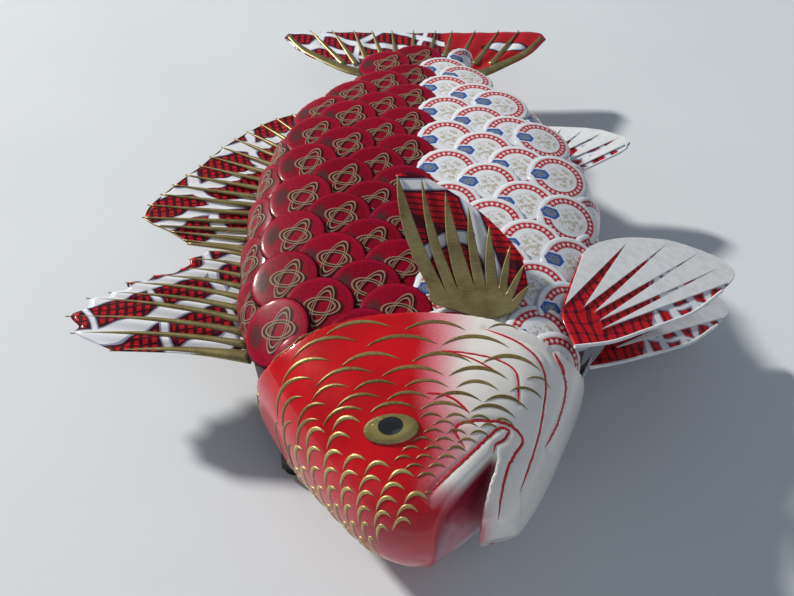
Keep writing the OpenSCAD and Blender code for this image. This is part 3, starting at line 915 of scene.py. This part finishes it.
def inside(polygon, x, y):
    polygon = np.asarray(polygon, float)
    found = np.zeros(len(x), bool)
    for (x1, y1), (x2, y2) in zip(polygon, np.roll(polygon, -1, 0)):
        crosses = (y1 > y) != (y2 > y)
        with np.errstate(divide="ignore", invalid="ignore"):
            found ^= crosses & (x < (x2 - x1) * (y - y1) / (y2 - y1) + x1)
    return found


def to_line(line, x, y):
    """Distance of each plan point to a polyline."""
    best = np.full(len(x), 1e9)
    for (x1, y1), (x2, y2) in zip(line[:-1], line[1:]):
        dx, dy = x2 - x1, y2 - y1
        t = np.clip(((x - x1) * dx + (y - y1) * dy) / (dx * dx + dy * dy), 0, 1)
        best = np.minimum(best, np.hypot(x - x1 - t * dx, y - y1 - t * dy))
    return best


JAW_LINE = path([[0.7, -180.4], [13.7, -169.4], [27.4, -156.6], [31.0, -156.6], [29.5, -160],
                 [25.6, -163], [24.6, -166.5]], 60)
CHEEK_LINE = path([[13.4, -165.8], [9.8, -159.3], [11.8, -156.6], [23.6, -154.4],
                   [32.3, -155.0], [36.7, -158.4], [33, -165], [29.9, -170.8], [27, -180.9],
                   [26.2, -186.5]], 90)
GILL_LINE = path([[24.1, -111.6], [38.2, -117.8], [46.0, -124.9], [48.4, -132.6],
                  [46.7, -144.5], [43.0, -157.6], [35.6, -175.3]], 90)
OUTER_LINE = path([[52.7, -119.0], [58.1, -130.1], [54.8, -143.2], [48.7, -155.0]], 60)
COVER_LINE = path([[5.0, -123.6], [17.9, -125.2], [29.1, -127.9], [35.4, -132.5],
                   [35.6, -146.1]], 60)
COVER_FORK = path([[5.0, -123.6], [16.9, -127.3], [27.6, -133.4]], 40)
CREST_LINE = path([[-1.4, -144.2], [5, -144.8], [10.2, -147.1], [15.8, -152.6]], 40)
# every painted line's width, and the depth and width of the groove that it lies in
LINES = [(JAW_LINE, 1.35, 0.5, 1.1), (CHEEK_LINE, 1.5, 0.5, 1.1), (GILL_LINE, 1.55, 0.6, 1.2),
         (OUTER_LINE, 1.7, 0.9, 1.5), (COVER_LINE, 1.05, 0.3, 0.8), (COVER_FORK, 0.85, 0, 1),
         (CREST_LINE, 1.1, 0, 1)]
# where red turns to white: the middle's x against y, and the width of the change
BLUSH = [[-195, -2], [-188.4, 3], [-183.2, 5], [-177.2, 6], [-170.4, 9], [-163.1, 9.5],
         [-155.5, 7.5], [-147, 5.5], [-138, 5.3], [-128.6, 5.3], [-118.3, 8], [-108.4, 8],
         [-90, 10]]
BLUSH_WIDE = [[-195, 7], [-180, 10], [-165, 9], [-150, 9.5], [-128, 8.5], [-108, 11], [-90, 12]]


def grooves(x, y, z):
    """How far the head's skin sinks at each point."""
    sink = np.zeros(len(x))
    for line, _, deep, wide in LINES:
        sink += deep * np.exp(-(to_line(line, x, y) / wide) ** 2)
    # behind the gill line the cover steps down and slowly comes back up
    off = to_line(GILL_LINE, x, y)
    beyond = x > np.interp(y, *GILL_LINE[np.argsort(GILL_LINE[:, 1])].T[::-1])
    sink += 1.6 * beyond * ramp(off, 0, 1.5) * np.exp(-off / 7) * ramp(-y, 111, 8)
    return sink * ramp(np.abs(z - MID_Z), 4, 8)


def whiteness(x, y):
    """How white the lacquer is, from 0 on the back to 1 on the belly."""
    white = np.clip((x - through(BLUSH, y)) / (2.9 * through(BLUSH_WIDE, y)) + 0.5, 0, 1)
    # the upper jaw is red, with a white band along its lip
    upper = (x < 19.5) & (y < -160)
    white = np.where(upper, white * ramp(y, -185, 10), white)
    band = ramp((23.8 * (x - 0.7) - 26.7 * (y + 180.4)) / 35.8, 0, 1.2) * ramp(y, -187, 11)
    white = np.where(upper & (x > 0), np.maximum(white, band), white)
    jaw_tip = ramp(-y, 176, 12) * ramp(x, 17, 2) * ramp(-x, -27, 5)
    return white * (1 - 0.35 * jaw_tip)


def in_mouth(x, y, z):
    """1 on the mouth's walls, away from its lips."""
    middle, wide = plan_at(HEAD, y)
    across = np.clip(np.abs(x - middle) / wide, 0, 0.999)
    power = power_at(HEAD, y)
    half = through(HEAD["half"], y) * (1 - across ** power) ** (1 / power)
    depth = np.minimum(MID_Z + half - z, z - MID_Z + half * LOW)
    gap = to_line(np.array(MOUTH + MOUTH[:1]), x, y)
    gap = np.where(inside(MOUTH, x, y), gap, -gap)
    return ramp(depth, 1.0, 6) * ramp(gap, -1.6, 1.8)


def make_head():
    mesh = head_mesh()
    count = len(mesh.vertices)
    where, out = np.empty(count * 3), np.empty(count * 3)
    mesh.vertices.foreach_get("co", where)
    mesh.vertices.foreach_get("normal", out)
    where, out = where.reshape(-1, 3) / MM - SHIFT, out.reshape(-1, 3)
    where -= out * grooves(*where.T)[:, None]
    mesh.vertices.foreach_set("co", to_frame(where).ravel())
    x, y, z = where.T
    mark(mesh, "white", whiteness(x, y))
    mark(mesh, "mouth", in_mouth(x, y, z))
    return hang("lacquered_head", mesh, "lacquer", ("head_shell",))


shell = make_head()
shell_tree = BVHTree.FromPolygons([v.co for v in shell.data.vertices],
                                  [p.vertices[:] for p in shell.data.polygons])


def on_shell(points):
    """Nearest points of the finished head, with its normals, for points in millimetres."""
    found = [shell_tree.find_nearest(Vector(p))[:2] for p in to_frame(points)]
    return np.array([spot for spot, _ in found]) / MM - SHIFT, np.array([n for _, n in found])


def mirrored(points):
    """The same place on the fish's other flank."""
    points = np.array(points, float)
    points[:, 2] = MID_Z - (points[:, 2] - MID_Z) * LOW
    return points


def ring_uv(values, along):
    """One row of UVs per ring: a value per corner, and the length along."""
    return np.stack([values, np.tile(along[:, None], (1, values.shape[1]))], 2)


def bead(batch, line, widths, height, seed=0.5):
    """A raised stroke lying along a line of points on the head."""
    spots, normals = on_shell(line)
    sides = unit(np.cross(normals, unit(np.gradient(spots, axis=0))))
    turn = full_turn(8)
    rings = []
    for spot, normal, side, width in zip(spots, normals, sides, widths):
        tall = height * min(1.0, width / 0.8 + 0.15)
        rings.append(spot + np.outer(np.cos(turn) * width / 2, side)
                     + np.outer(np.sin(turn) * tall, normal))
    uv = ring_uv(np.tile(np.cos(turn), (len(spots), 1)), run_of(spots))
    batch.add(np.concatenate(rings), tube_faces(len(spots), len(turn)), uv, seed)


def head_point(x, y):
    spots, _ = head.at([head.s_of(a, b) for a, b in zip(x, y)], y)
    return spots


def make_lines():
    batch = Batch()
    for line, width, _, _ in LINES:
        t = np.linspace(0, 1, len(line))
        widths = width * np.minimum(1, np.minimum(t, 1 - t) * 8 + 0.15)
        points = head_point(line[:, 0], line[:, 1])
        bead(batch, points, widths, 0.28)
        bead(batch, mirrored(points), widths, 0.28)
    batch.make("red_lines", "line", "head_lacquer")


# rows of painted scales: y, gap, offset. The flank's small ones stop short of the back edge,
# where a coarser, thicker set goes round to the other side, every second row half a gap on.
# The flank's crescents get mostly the gold's painted shade, the edge set its painted highlight.
FLANK_ROWS = [[-110, 30, 0.16], [-118, 31, -0.28], [-126.8, 28, 0.25], [-133.5, 27, -0.2],
              [-139.5, 20, 0.03], [-145, 20, 0.6], [-149.5, 20, 0.3], [-153.6, 9.5, 0.1],
              [-156.4, 9.2, 0.55], [-159.6, 9.0, 0.05], [-162.8, 8.8, 0.5], [-166.0, 8.6, 0.0],
              [-169.2, 8.4, 0.5], [-172.3, 8.2, 0.0], [-175.4, 8.0, 0.5], [-178.3, 7.8, 0.0],
              [-181.0, 7.6, 0.5]]
EDGE_ROWS = [[-121, 19], [-129, 18], [-136.5, 17.5], [-142.5, 17], [-148, 16], [-153, 15.5],
             [-157.7, 15], [-162.2, 14.5], [-166.5, 14], [-170.6, 13.5], [-174.6, 13],
             [-178.4, 12.5], [-182.0, 12], [-185.3, 11], [-188.2, 10]]
# the flank set lies between these two plan limits, x against y
FLANK_FROM = [[-182, 0], [-176, -6], [-168, -14], [-160, -24], [-152, -30], [-149, -60],
              [-105, -66]]
FLANK_TO = [[-195, -16], [-188, -8], [-182, -1], [-176, 4], [-168, 12], [-160, 22],
            [-156, 30], [-150, 38], [-140, 44], [-128, 46], [-118, 36], [-105, 30]]
EYE_X, EYE_Y = -14.7, -158.5


def scale_arc(batch, s, y, half, bulge, thick, turn, lit_share):
    """One crescent, its bulge to the tail and turned toward the back; the last argument is its
    share of the gold's painted highlight against its painted shade.
    """
    tau = np.linspace(-1, 1, 15)
    rise = bulge * (0.35 - np.abs(tau) ** 2.1)
    widths = thick * np.clip(1 - np.abs(tau) ** 2.2, 0.06, 1)
    points, _ = head.at(s + half * tau * math.cos(turn) - rise * math.sin(turn),
                        y + half * tau * math.sin(turn) + rise * math.cos(turn))
    bead(batch, points, widths, 0.40, lit_share)
    if s > -head.edge_at(y) + half * 0.6:
        bead(batch, mirrored(points), widths, 0.40, lit_share)


def on_eye(x, y, wide, long):
    """Whether a plan point lies in the oval kept free round the eye, a little to its front."""
    forward = 0.3
    return math.hypot((x - EYE_X) / wide, (y - EYE_Y + forward) / long) < 1


def make_scales():
    batch = Batch()
    for y, gap, offset in FLANK_ROWS:
        for k in range(-12, 12):
            s = (k + offset + rng.uniform(-0.04, 0.04)) * gap
            if abs(s) > head.edge_at(y) * 1.02:
                continue
            x = head.at(s, y)[0][0]
            room = through(FLANK_TO, y) - x
            if room < 0 or x < through(FLANK_FROM, y) or on_eye(x, y, 12.8, 8.2):
                continue
            small = max(0.5, min(1.0, room / (0.5 * gap) + 0.3))
            # mostly the gold's painted shade for these crescents
            scale_arc(batch, s, y, gap * 0.46 * small * rng.uniform(0.92, 1.04),
                      (0.15 * gap + 0.4) * small, (0.055 * gap + 0.55) * small,
                      0.15 * min(0.0, x) / -40, rng.uniform(0, 0.35))
    for row, (y, gap) in enumerate(EDGE_ROWS):
        edge = head.edge_at(y)
        offset = 0.7 if row % 2 else 0.2
        for k in range(-12, 4):
            s = -edge + (k + offset) * gap
            x = head.at(s, y)[0][0]
            past_edge = s < -edge - 0.4 * gap
            on_flank = x > through(FLANK_FROM, y) - 0.25 * gap or (y > -150 and s > -edge + 20)
            if past_edge or on_flank or on_eye(x, y, 15.0, 10.0):
                continue
            # mostly the gold's painted highlight for the edge set
            scale_arc(batch, s, y, gap * 0.40, 0.21 * gap, 1.1 + 0.055 * gap, 0.04,
                      rng.uniform(0.75, 1.0))
    batch.make("gold_scales", "gold", "head_lacquer")


make_lines()
make_scales()


# ---------------------------------------------------------------- eyes
EYE_OVAL = np.array([1.0, 0.56, 1.0])


def lathe(profile):
    sides = 48
    turn = full_turn(sides)
    rings = [np.stack([r * np.cos(turn), r * np.sin(turn), np.full(sides, h)], 1)
             for r, h in profile]
    return np.concatenate(rings), tube_faces(len(rings), sides)


def make_eye(name, centre):
    spot, normal = (values[0] for values in on_shell(centre))
    along = unit(np.array([0, 1.0, 0]) - normal[1] * normal)
    axes = np.stack([np.cross(along, normal), along, normal])
    iris = [(0.4, 0.35), (4, 0.35), (8, 0.3), (10.4, 0.1), (10.9, -0.4), (10.6, -2.4),
            (0.4, -2.4)]
    ball, lift, spread = 14.2, 8.6, 0.87
    dome = [(ball * math.sin(t), 0.2 + lift * (math.cos(t) - math.cos(spread)))
            for t in np.linspace(0.03, spread, 16)]
    glass = dome + [(10.6, -0.3), (10.3, 0.15), (8, 0.36), (0.4, 0.45)]
    for kind, profile, radius, paint, slot, node in (
            ("disc", iris, 10.9, "iris", "iris_paint", "iris"),
            ("dome", glass, 10.7, "glass", "eye_glass", "eye_glass")):
        points, faces = lathe(profile)
        piece(f"{name}_eye_{kind}", spot + points * EYE_OVAL @ axes, faces, paint,
              points[:, :2] / radius, stands_for=(f"{name}_{node}",))


eye_centre = head_point([EYE_X], [EYE_Y])
make_eye("left", eye_centre)
make_eye("right", mirrored(eye_centre))


# ---------------------------------------------------------------- fins
SHEET = 0.7


def patch(root, edge, start, end, rows, cols):
    """Grid of plan points between four border curves; rows run from the root to the edge."""
    root, edge = path(root, cols), path(edge, cols)
    start, end = path(start, rows), path(end, rows)
    u, v = np.linspace(0, 1, cols)[None, :, None], np.linspace(0, 1, rows)[:, None, None]
    flat = root[None] * (1 - v) + edge[None] * v
    side = start[:, None] * (1 - u) + end[:, None] * u
    corner = ((root[0] * (1 - u) + root[-1] * u) * (1 - v)
              + (edge[0] * (1 - u) + edge[-1] * u) * v)
    return flat + side - corner


def sheet_piece(name, grid, height, paint, node, thick=SHEET, place=None):
    """A thin closed sheet over a plan grid. height is one lift, or one for every grid point."""
    height = np.broadcast_to(height, grid.shape[:2])
    layers = [np.dstack([grid, height + side * thick / 2]).reshape(-1, 3) for side in (1, -1)]
    points = np.concatenate(layers)
    uv = np.concatenate([grid.reshape(-1, 2)] * 2)
    piece(name, place(points) if place else points, plate_faces(*grid.shape[:2]), paint,
          uv, stands_for=(node,))


def spike(batch, plan, z, widths, heights, sharp=1.0):
    """A tapered rod along plan points at height z, with a lens section."""
    count, sides = len(plan), 12
    line = np.c_[plan, np.broadcast_to(z, count)]
    widths = np.broadcast_to(np.asarray(widths, float), count)
    heights = np.broadcast_to(np.asarray(heights, float), count)
    runs = unit(np.gradient(line, axis=0))
    across = unit(np.cross(runs, (0.0, 0.0, 1.0)))
    raised = np.cross(across, runs)
    turn = full_turn(sides)
    out, lens = np.cos(turn), signed_power(np.sin(turn), sharp)
    points = (line[:, None] + widths[:, None, None] / 2 * out[None, :, None] * across[:, None]
              + heights[:, None, None] / 2 * lens[None, :, None] * raised[:, None])
    uv = ring_uv(out[None] * widths[:, None], run_of(line))
    batch.add(points.reshape(-1, 3), tube_faces(count, sides), uv, rng.random())


def cut_plate(batch, outline, height, thick, bevel=0.25, slope=0.0, place=None):
    """A flat plate cut to a plan outline, its upper edge bevelled; it sinks by slope along x."""
    outline = np.asarray(outline, float)
    bevel = np.broadcast_to(np.asarray(bevel, float), len(outline))
    after, before = np.roll(outline, -1, 0) - outline, outline - np.roll(outline, 1, 0)
    bend = before[:, 0] * after[:, 1] - before[:, 1] * after[:, 0]
    spin = np.sign(np.sum(bend))
    out = spin * (unit(np.c_[after[:, 1], -after[:, 0]]) + unit(np.c_[before[:, 1], -before[:, 0]]))
    reach = np.linalg.norm(out, axis=1)
    sharp = (spin * bend > 0) & (reach < 0.9)
    size = np.maximum(reach, 0.5)[:, None]
    inner = outline - out / size**2 * 2 * np.where(sharp, 0, bevel)[:, None]
    rings = [(outline, -thick / 2), (outline, thick / 2 - 0.15), (inner, thick / 2)]
    points = np.concatenate([np.c_[r, height + h - slope * r[:, 0]] for r, h in rings])
    batch.add(place(points) if place else points, tube_faces(3, len(outline)),
              points[:, :2].copy(), rng.random())


def back_root(y):
    return [through(BODY["back"], y) - 0.5, y]


def fan(batch, a, b, z, count, wide, tall, power=1.0, sharp=1.0, bow=0.0, rise=0.0):
    """A rod from a to b that narrows to its tip. wide and tall are each a taper and a tip size;
    bow bends it sideways by a share of its length, rise lifts its middle by mm."""
    a, b = np.array(a, float), np.array(b, float)
    t = np.linspace(0, 1, count)
    hump = np.sin(math.pi * t)
    side = np.array([b[1] - a[1], a[0] - b[0]]) * bow
    spike(batch, a + (b - a) * t[:, None] + side * hump[:, None], z + rise * hump,
          wide[0] * (1 - t ** power) + wide[1], tall[0] * (1 - t) + tall[1], sharp)


SPINY_TIPS = np.array([[-146, -89], [-167, -78], [-172, -67], [-165, -55], [-155, -51],
                       [-148, -44], [-135, -39], [-122, -34], [-119, -27], [-110, -21]], float)
SPINY_START, SPINY_END = -93, -27
# how deep each bay between two spikes is cut into the sheet
SPINY_BAYS = [0.02, 0.05, 0.05, 0.05, 0.06, 0.06, 0.05, 0.05, 0.05]


def make_spiny():
    n = len(SPINY_TIPS)
    cols = (n - 1) * 10 + 1
    root = np.array([back_root(y) for y in np.linspace(SPINY_START, SPINY_END, cols)])
    tips = path(SPINY_TIPS, cols)
    spikes = np.linspace(0, n - 1, cols)
    pick = np.interp(spikes, np.arange(n),
                     [np.argmin(np.linalg.norm(tips - t, axis=1)) for t in SPINY_TIPS])
    tips = np.stack([np.interp(pick, np.arange(cols), values) for values in tips.T], 1)
    wave = 0.5 - 0.5 * np.cos(2 * math.pi * spikes)
    reach = 0.97 - np.interp(spikes, np.arange(n - 1) + 0.5, SPINY_BAYS) * wave
    v = np.linspace(0, 1, 26)[:, None]
    grid = root[None] + (v * reach[None])[:, :, None] * (tips - root)[None]
    height = MID_Z + (1.0 - 2.2 * wave[None]) * np.sin(math.pi * (0.15 + 0.8 * v))
    sheet_piece("spiny_sail", grid, height, "spiny", "spiny_dorsal")
    batch = Batch()
    for i, tip in enumerate(SPINY_TIPS):
        y = SPINY_START + (SPINY_END - SPINY_START) * i / (n - 1)
        a = np.array(back_root(y)) + [4, 0]
        wide = 7.0 if i == 0 else 4.6 if i < 7 else 3.8
        fan(batch, a, tip, MID_Z, 20, (wide, 0.5), (3.4, 0.7), power=0.9, bow=0.03, rise=0.6)
    batch.make("spiny_spikes", "brass", "brass_ray", ("spiny_dorsal_rays",))


SOFT_EDGE = [[-121, -15], [-132, -6], [-147, 4], [-147, 14], [-141, 25], [-133, 38],
             [-125, 49], [-115, 66], [-103, 81], [-89, 94], [-72, 102], [-59, 99]]


def make_soft():
    n, rows = 17, 24
    cols = n * 6 + 1
    root = [back_root(y) for y in np.linspace(-22, 93, 12)]
    grid = patch(root, SOFT_EDGE, [root[0], SOFT_EDGE[0]], [root[-1], SOFT_EDGE[-1]], rows, cols)
    wave = 0.5 - 0.5 * np.cos(2 * math.pi * (np.linspace(0, n, cols) - 0.3))
    v = np.linspace(0, 1, rows)[:, None]
    height = MID_Z + (0.6 - 1.5 * wave[None]) * np.sin(math.pi * (0.1 + 0.8 * v))
    sheet_piece("soft_sail", grid, height, "soft", "soft_dorsal")
    batch = Batch()
    edge = path(SOFT_EDGE, 200)
    for i in range(n):
        a = np.array(back_root(-20 + 110 * i / (n - 1)))
        b = a + 1.03 * (edge[int(199 * (i + 0.3) / n)] - a)
        fan(batch, a, b, MID_Z + 0.7, 16, (3.1, 0.8), (2.2, 0.8))
    front = path([back_root(-22.5), [-95, -20], [-121.5, -15.5]], 16)
    spike(batch, front, MID_Z + 0.4, np.linspace(3.4, 1.6, 16), np.linspace(2.6, 1.4, 16))
    spike(batch, edge[::4], MID_Z, 0.7, 1.1)
    batch.make("soft_rods", "brass", "brass_ray", ("soft_dorsal_rays",))


TAIL_Z = 42.0
TAIL_ROOTS = [-47, -39, -31, -20, -12, -2, 8, 18, 28, 39, 50]
TAIL_TIPS = [-73, -57.5, -42.5, -30, -16, -1, 14.5, 26, 42, 58.5, 72.5]


def make_tail():
    left = [[-35.5, 150], [-47, 155], [-57, 162], [-78, 180], [-90, 198]]
    right = [[37.5, 149], [45, 150.5], [59, 160], [77, 176], [90, 196]]
    edge = [left[-1], [-86, 205], [-50, 205.5], [0, 204.5], [45, 205], [86, 205], right[-1]]
    rows, cols = 26, 101
    grid = patch([left[0], [0, 152], right[0]], edge, left, right, rows, cols)
    wave = np.cos(2 * math.pi * np.linspace(0, len(TAIL_TIPS), cols))[None]
    v = np.linspace(0, 1, rows)[:, None]
    sheet_piece("tail_sail", grid, TAIL_Z + 0.7 * wave * np.sin(math.pi * v * 0.9), "tail",
                "tail_fin")
    batch = Batch()
    for low, tip in zip(TAIL_ROOTS, TAIL_TIPS):
        fan(batch, [low, 163], [tip, 207], TAIL_Z + 0.8, 18, (4.2, 0.5), (1.2, 0.8), 1.3, 1.2)
    batch.make("tail_rods", "brass", "brass_ray", ("tail_rays",))
    batch = Batch()
    for side in (left, right):
        line = np.array(side, float)
        line += np.c_[-3.0 * np.sign(line[:, 0]), np.full(len(line), 1.8)]
        t = np.linspace(0, 1, 30)
        spike(batch, path(line, 30), TAIL_Z + 0.6, 9.5 - 6.5 * t, 2.4 - 1.0 * t)
    batch.make("tail_bands", "brass", "brass_ray", ("tail_edge_bands",))


# the white plate of the anal fin: the blades' roots, the gaps' outer ends, the outer rim
ANAL_STARTS = [[75, 67], [77, 62.5], [80, 60], [83, 53.5], [85.5, 45.5]]
ANAL_GAPS = [[76.5, 86.5], [86, 86.0], [99, 84.5], [109.5, 81.5], [119, 77.0], [121.5, 70.0]]
ANAL_OUTER = [[121.8, 68.4], [124.8, 72.5], [122.5, 77.8], [117, 81.0], [110.5, 84.7], [100, 87],
              [85.7, 88], [76, 88.6]]


def make_anal():
    front = [[84, 38.5], [93, 46], [104, 54], [118, 64], [123, 69]]
    rear = [[66, 88], [86, 88.3], [103, 85.6], [117, 80], [122, 77]]
    grid = patch([front[0], [76, 60], rear[0]], [front[-1], [125, 73], rear[-1]], front, rear,
                 24, 57)
    sheet_piece("anal_sail", grid, MID_Z, "anal", "anal_fin")
    batch = Batch()
    outline = [ANAL_GAPS[0]]
    for start, gap in zip(ANAL_STARTS, ANAL_GAPS[1:]):
        outline += [start, gap]
    cut_plate(batch, outline + ANAL_OUTER, MID_Z + 0.8, 0.6)
    spike(batch, path(front, 24), MID_Z, 1.5, 1.5)
    batch.make("anal_blades", "white", "white_ray", ("anal_fin_rays",), smooth=False)


PELVIC_FRONT = [[78.4, -111.2], [93.7, -101.8], [107.2, -93.2], [122.4, -82.7],
                [141.1, -64.4]]
PELVIC_EDGE = [PELVIC_FRONT[-1], [150.4, -53.1], [151.1, -48.8], [149.8, -45.6]]
PELVIC_REAR = [[86.6, -46.4], [97.7, -41], [109.4, -37.8], [121.2, -36.1], [135.3, -38.2],
               [145, -41.6], PELVIC_EDGE[-1]]
# the white plate of a pelvic fin: the blades' roots, the gaps' outer ends, the outer rim
PELVIC_ROOTS = [[59.7, -95.4], [68.5, -94.3], [72.9, -96.3], [74.7, -100.6], [74.9, -105.6]]
PELVIC_GAPS = [[72.6, -61.1], [97.1, -45.0], [118.7, -39.3], [134.8, -41.1], [143.4, -49.1],
               [144.6, -59.4]]
PELVIC_OUTER = [[146.1, -58.9], *PELVIC_EDGE[1:], *PELVIC_REAR[-2::-1], [78.8, -52.2],
                [72.4, -60.3]]


def make_pelvic(name, z, slope, move, root, start):
    """A pelvic fin: a printed sheet under a white plate cut into blades.

    It sinks outwards by slope from the height z at x = 0; its blades stop at x = start.
    """
    move = np.array(move, float)
    front, rear = [root[0]] + PELVIC_FRONT, [root[-1]] + PELVIC_REAR
    grid = patch(root, PELVIC_EDGE, front, rear, 60, 57) + move
    sheet_piece(name + "_sail", grid, z - slope * grid[:, :, 0], "pelvic", name + "_fin")
    batch = Batch()
    outline = [np.maximum(PELVIC_GAPS[0], [start, -1000])]
    for tip, gap in zip(np.array(PELVIC_ROOTS), np.array(PELVIC_GAPS[1:])):
        outline += [tip + (gap - tip) * max(0, (start - tip[0]) / (gap[0] - tip[0])), gap]
    outline += [p for p in path(PELVIC_OUTER, 60) if p[0] > start + 3]
    cut_plate(batch, np.array(outline) + move, z + 0.9, SHEET, slope=slope)
    rim = path(np.array(front) + move, 30)
    spike(batch, rim, z - slope * rim[:, 0], 1.6, 1.6)
    batch.make(name + "_blades", "white", "white_ray", (name + "_rays",), smooth=False)


PECTORAL_AT = np.array([0.0, -92.0, 87.0])
PECTORAL_LIFT = math.radians(28)
COMB_VALLEYS = np.array([[1.3, 0.9], [9, -1.3], [14.2, -0.9], [21.1, 0.9], [25.8, 1.8],
                         [31, 1.3], [34.3, -0.9], [36.3, -4.5], [38.5, -7.5]])
COMB_TIPS = np.array([[-12.4, 54.5], [-1.7, 53], [8.9, 46.2], [18.9, 39.1], [27.9, 30.2],
                      [36.8, 20.9], [42.6, 12.2], [44.3, 2.7]])
COMB_BASE = [[39.2, -7.0], [36, -9.6], [31, -11.2], [26, -12.8], [21, -11.6], [13, -8.8],
             [5, -6.4], [1.4, -4.4]]


def pectoral_place(points):
    """Lifts the fin from the flank round the line through its root."""
    x, y, z = np.asarray(points, float).T
    c, s = math.cos(PECTORAL_LIFT), math.sin(PECTORAL_LIFT)
    return PECTORAL_AT + np.stack([x, y * c - z * s, y * s + z * c], 1)


def make_pectoral():
    left = [[4, -2], [-2, 15], [-13, 54]]
    right = [[37, -3], [41, -1.5], [44, 3]]
    edge = [left[-1], [-9, 56], [-2, 54.5], [19, 41], [31, 30], [41, 17], right[-1]]
    rows = 40
    grid = patch([left[0], [20, -4], right[0]], edge, left, right, rows, 65)
    height = -1.4 * np.sin(math.pi * np.linspace(0, 1, rows)[:, None])
    sheet_piece("pectoral_sail", grid, height, "pectoral", "left_pectoral_fin", 0.8,
                pectoral_place)
    batch = Batch()
    outline, bevels, widest = [], [], 0.35
    t = np.linspace(0, 1, 15)[:-1, None]
    for i, (a, b, tip) in enumerate(zip(COMB_VALLEYS, COMB_VALLEYS[1:], COMB_TIPS)):
        run = tip - (a + b) / 2
        bow = np.array([-run[1], run[0]]) * (0.045 - 0.008 * i) * np.sin(math.pi * t)
        line = (a + b) / 2 + run * t + bow
        half = (a - b) / 2 * (1 - t ** (3.2 if i == 0 else 2.1))
        outline += [*(line + half), tip, *(line - half)[::-1][:-1]]
        edge = np.minimum(widest, 0.45 * np.linalg.norm(half, axis=1))
        bevels += [*edge, 0, *edge[::-1][:-1]]
    outline += COMB_BASE
    bevels += [widest] * len(COMB_BASE)
    cut_plate(batch, outline, 1.4, 1.1, bevels, place=pectoral_place)
    batch.make("pectoral_tines", "brass", "brass_ray", ("left_pectoral_comb",), smooth=False)


make_spiny()
make_soft()
make_tail()
make_anal()
make_pelvic("left_pelvic", 97.74, 0.27, (0, 0), [[61, -118], [58, -100], [72.4, -60.3]], 0)
make_pelvic("right_pelvic", 92.9, 0.42, (6, 4.4), [[64, -119], [76, -99], [82.5, -66.4]], 80)
make_pectoral()

# ---------------------------------------------------------------- kept CAD nodes
for node, paint in (("back_board", "board"), ("spacers", "board"), ("rubber_feet", "rubber")):
    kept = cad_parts[node]
    kept.data.materials.clear()
    kept.data.materials.append(PAINT[paint])


# ---------------------------------------------------------------- floor, light and camera
def make_stage():
    mesh = bpy.data.meshes.new("floor")
    below = -0.2 * MM
    mesh.from_pydata([(-4, -3, below), (4, -3, below), (4, 6, below), (-4, 6, below)],
                     [], [(0, 1, 2, 3)])
    floor = placed("floor", mesh)
    mesh.materials.append(PAINT["floor"])


def lamp(name, size, power, at, colour):
    """A round lamp that looks at the middle of the fish."""
    aim = Vector((0, 0, 0.03))
    light = bpy.data.lights.new(name, "AREA")
    light.shape, light.size, light.energy, light.color = "DISK", size, power, colour
    made = placed(name, light)
    made.location = at
    made.rotation_euler = (aim - Vector(at)).to_track_quat("-Z", "Y").to_euler()


def make_light():
    world = bpy.data.worlds.new("studio")
    bpy.context.scene.world = world
    world.use_nodes = True
    sky = world.node_tree.nodes["Background"]
    sky.inputs["Color"].default_value = (0.74, 0.86, 1.0, 1)
    sky.inputs["Strength"].default_value = 0.22
    lamp("key", 0.45, 278, (-3.36, 2.26, 2.64), (1.0, 0.96, 0.90))
    lamp("fill", 1.6, 4, (0.4, -1.3, 1.6), (0.95, 0.97, 1.0))
    bpy.context.scene.view_settings.view_transform = "Standard"


def make_camera():
    lens = bpy.data.cameras.new("camera")
    lens.lens, lens.sensor_width = 40.8, 36.0
    camera = placed("camera", lens)
    camera.location = (-0.0024, -0.3693, 0.362)
    camera.rotation_euler = (math.radians(44.2), 0, 0)
    bpy.context.scene.camera = camera


make_stage()
make_light()
make_camera()
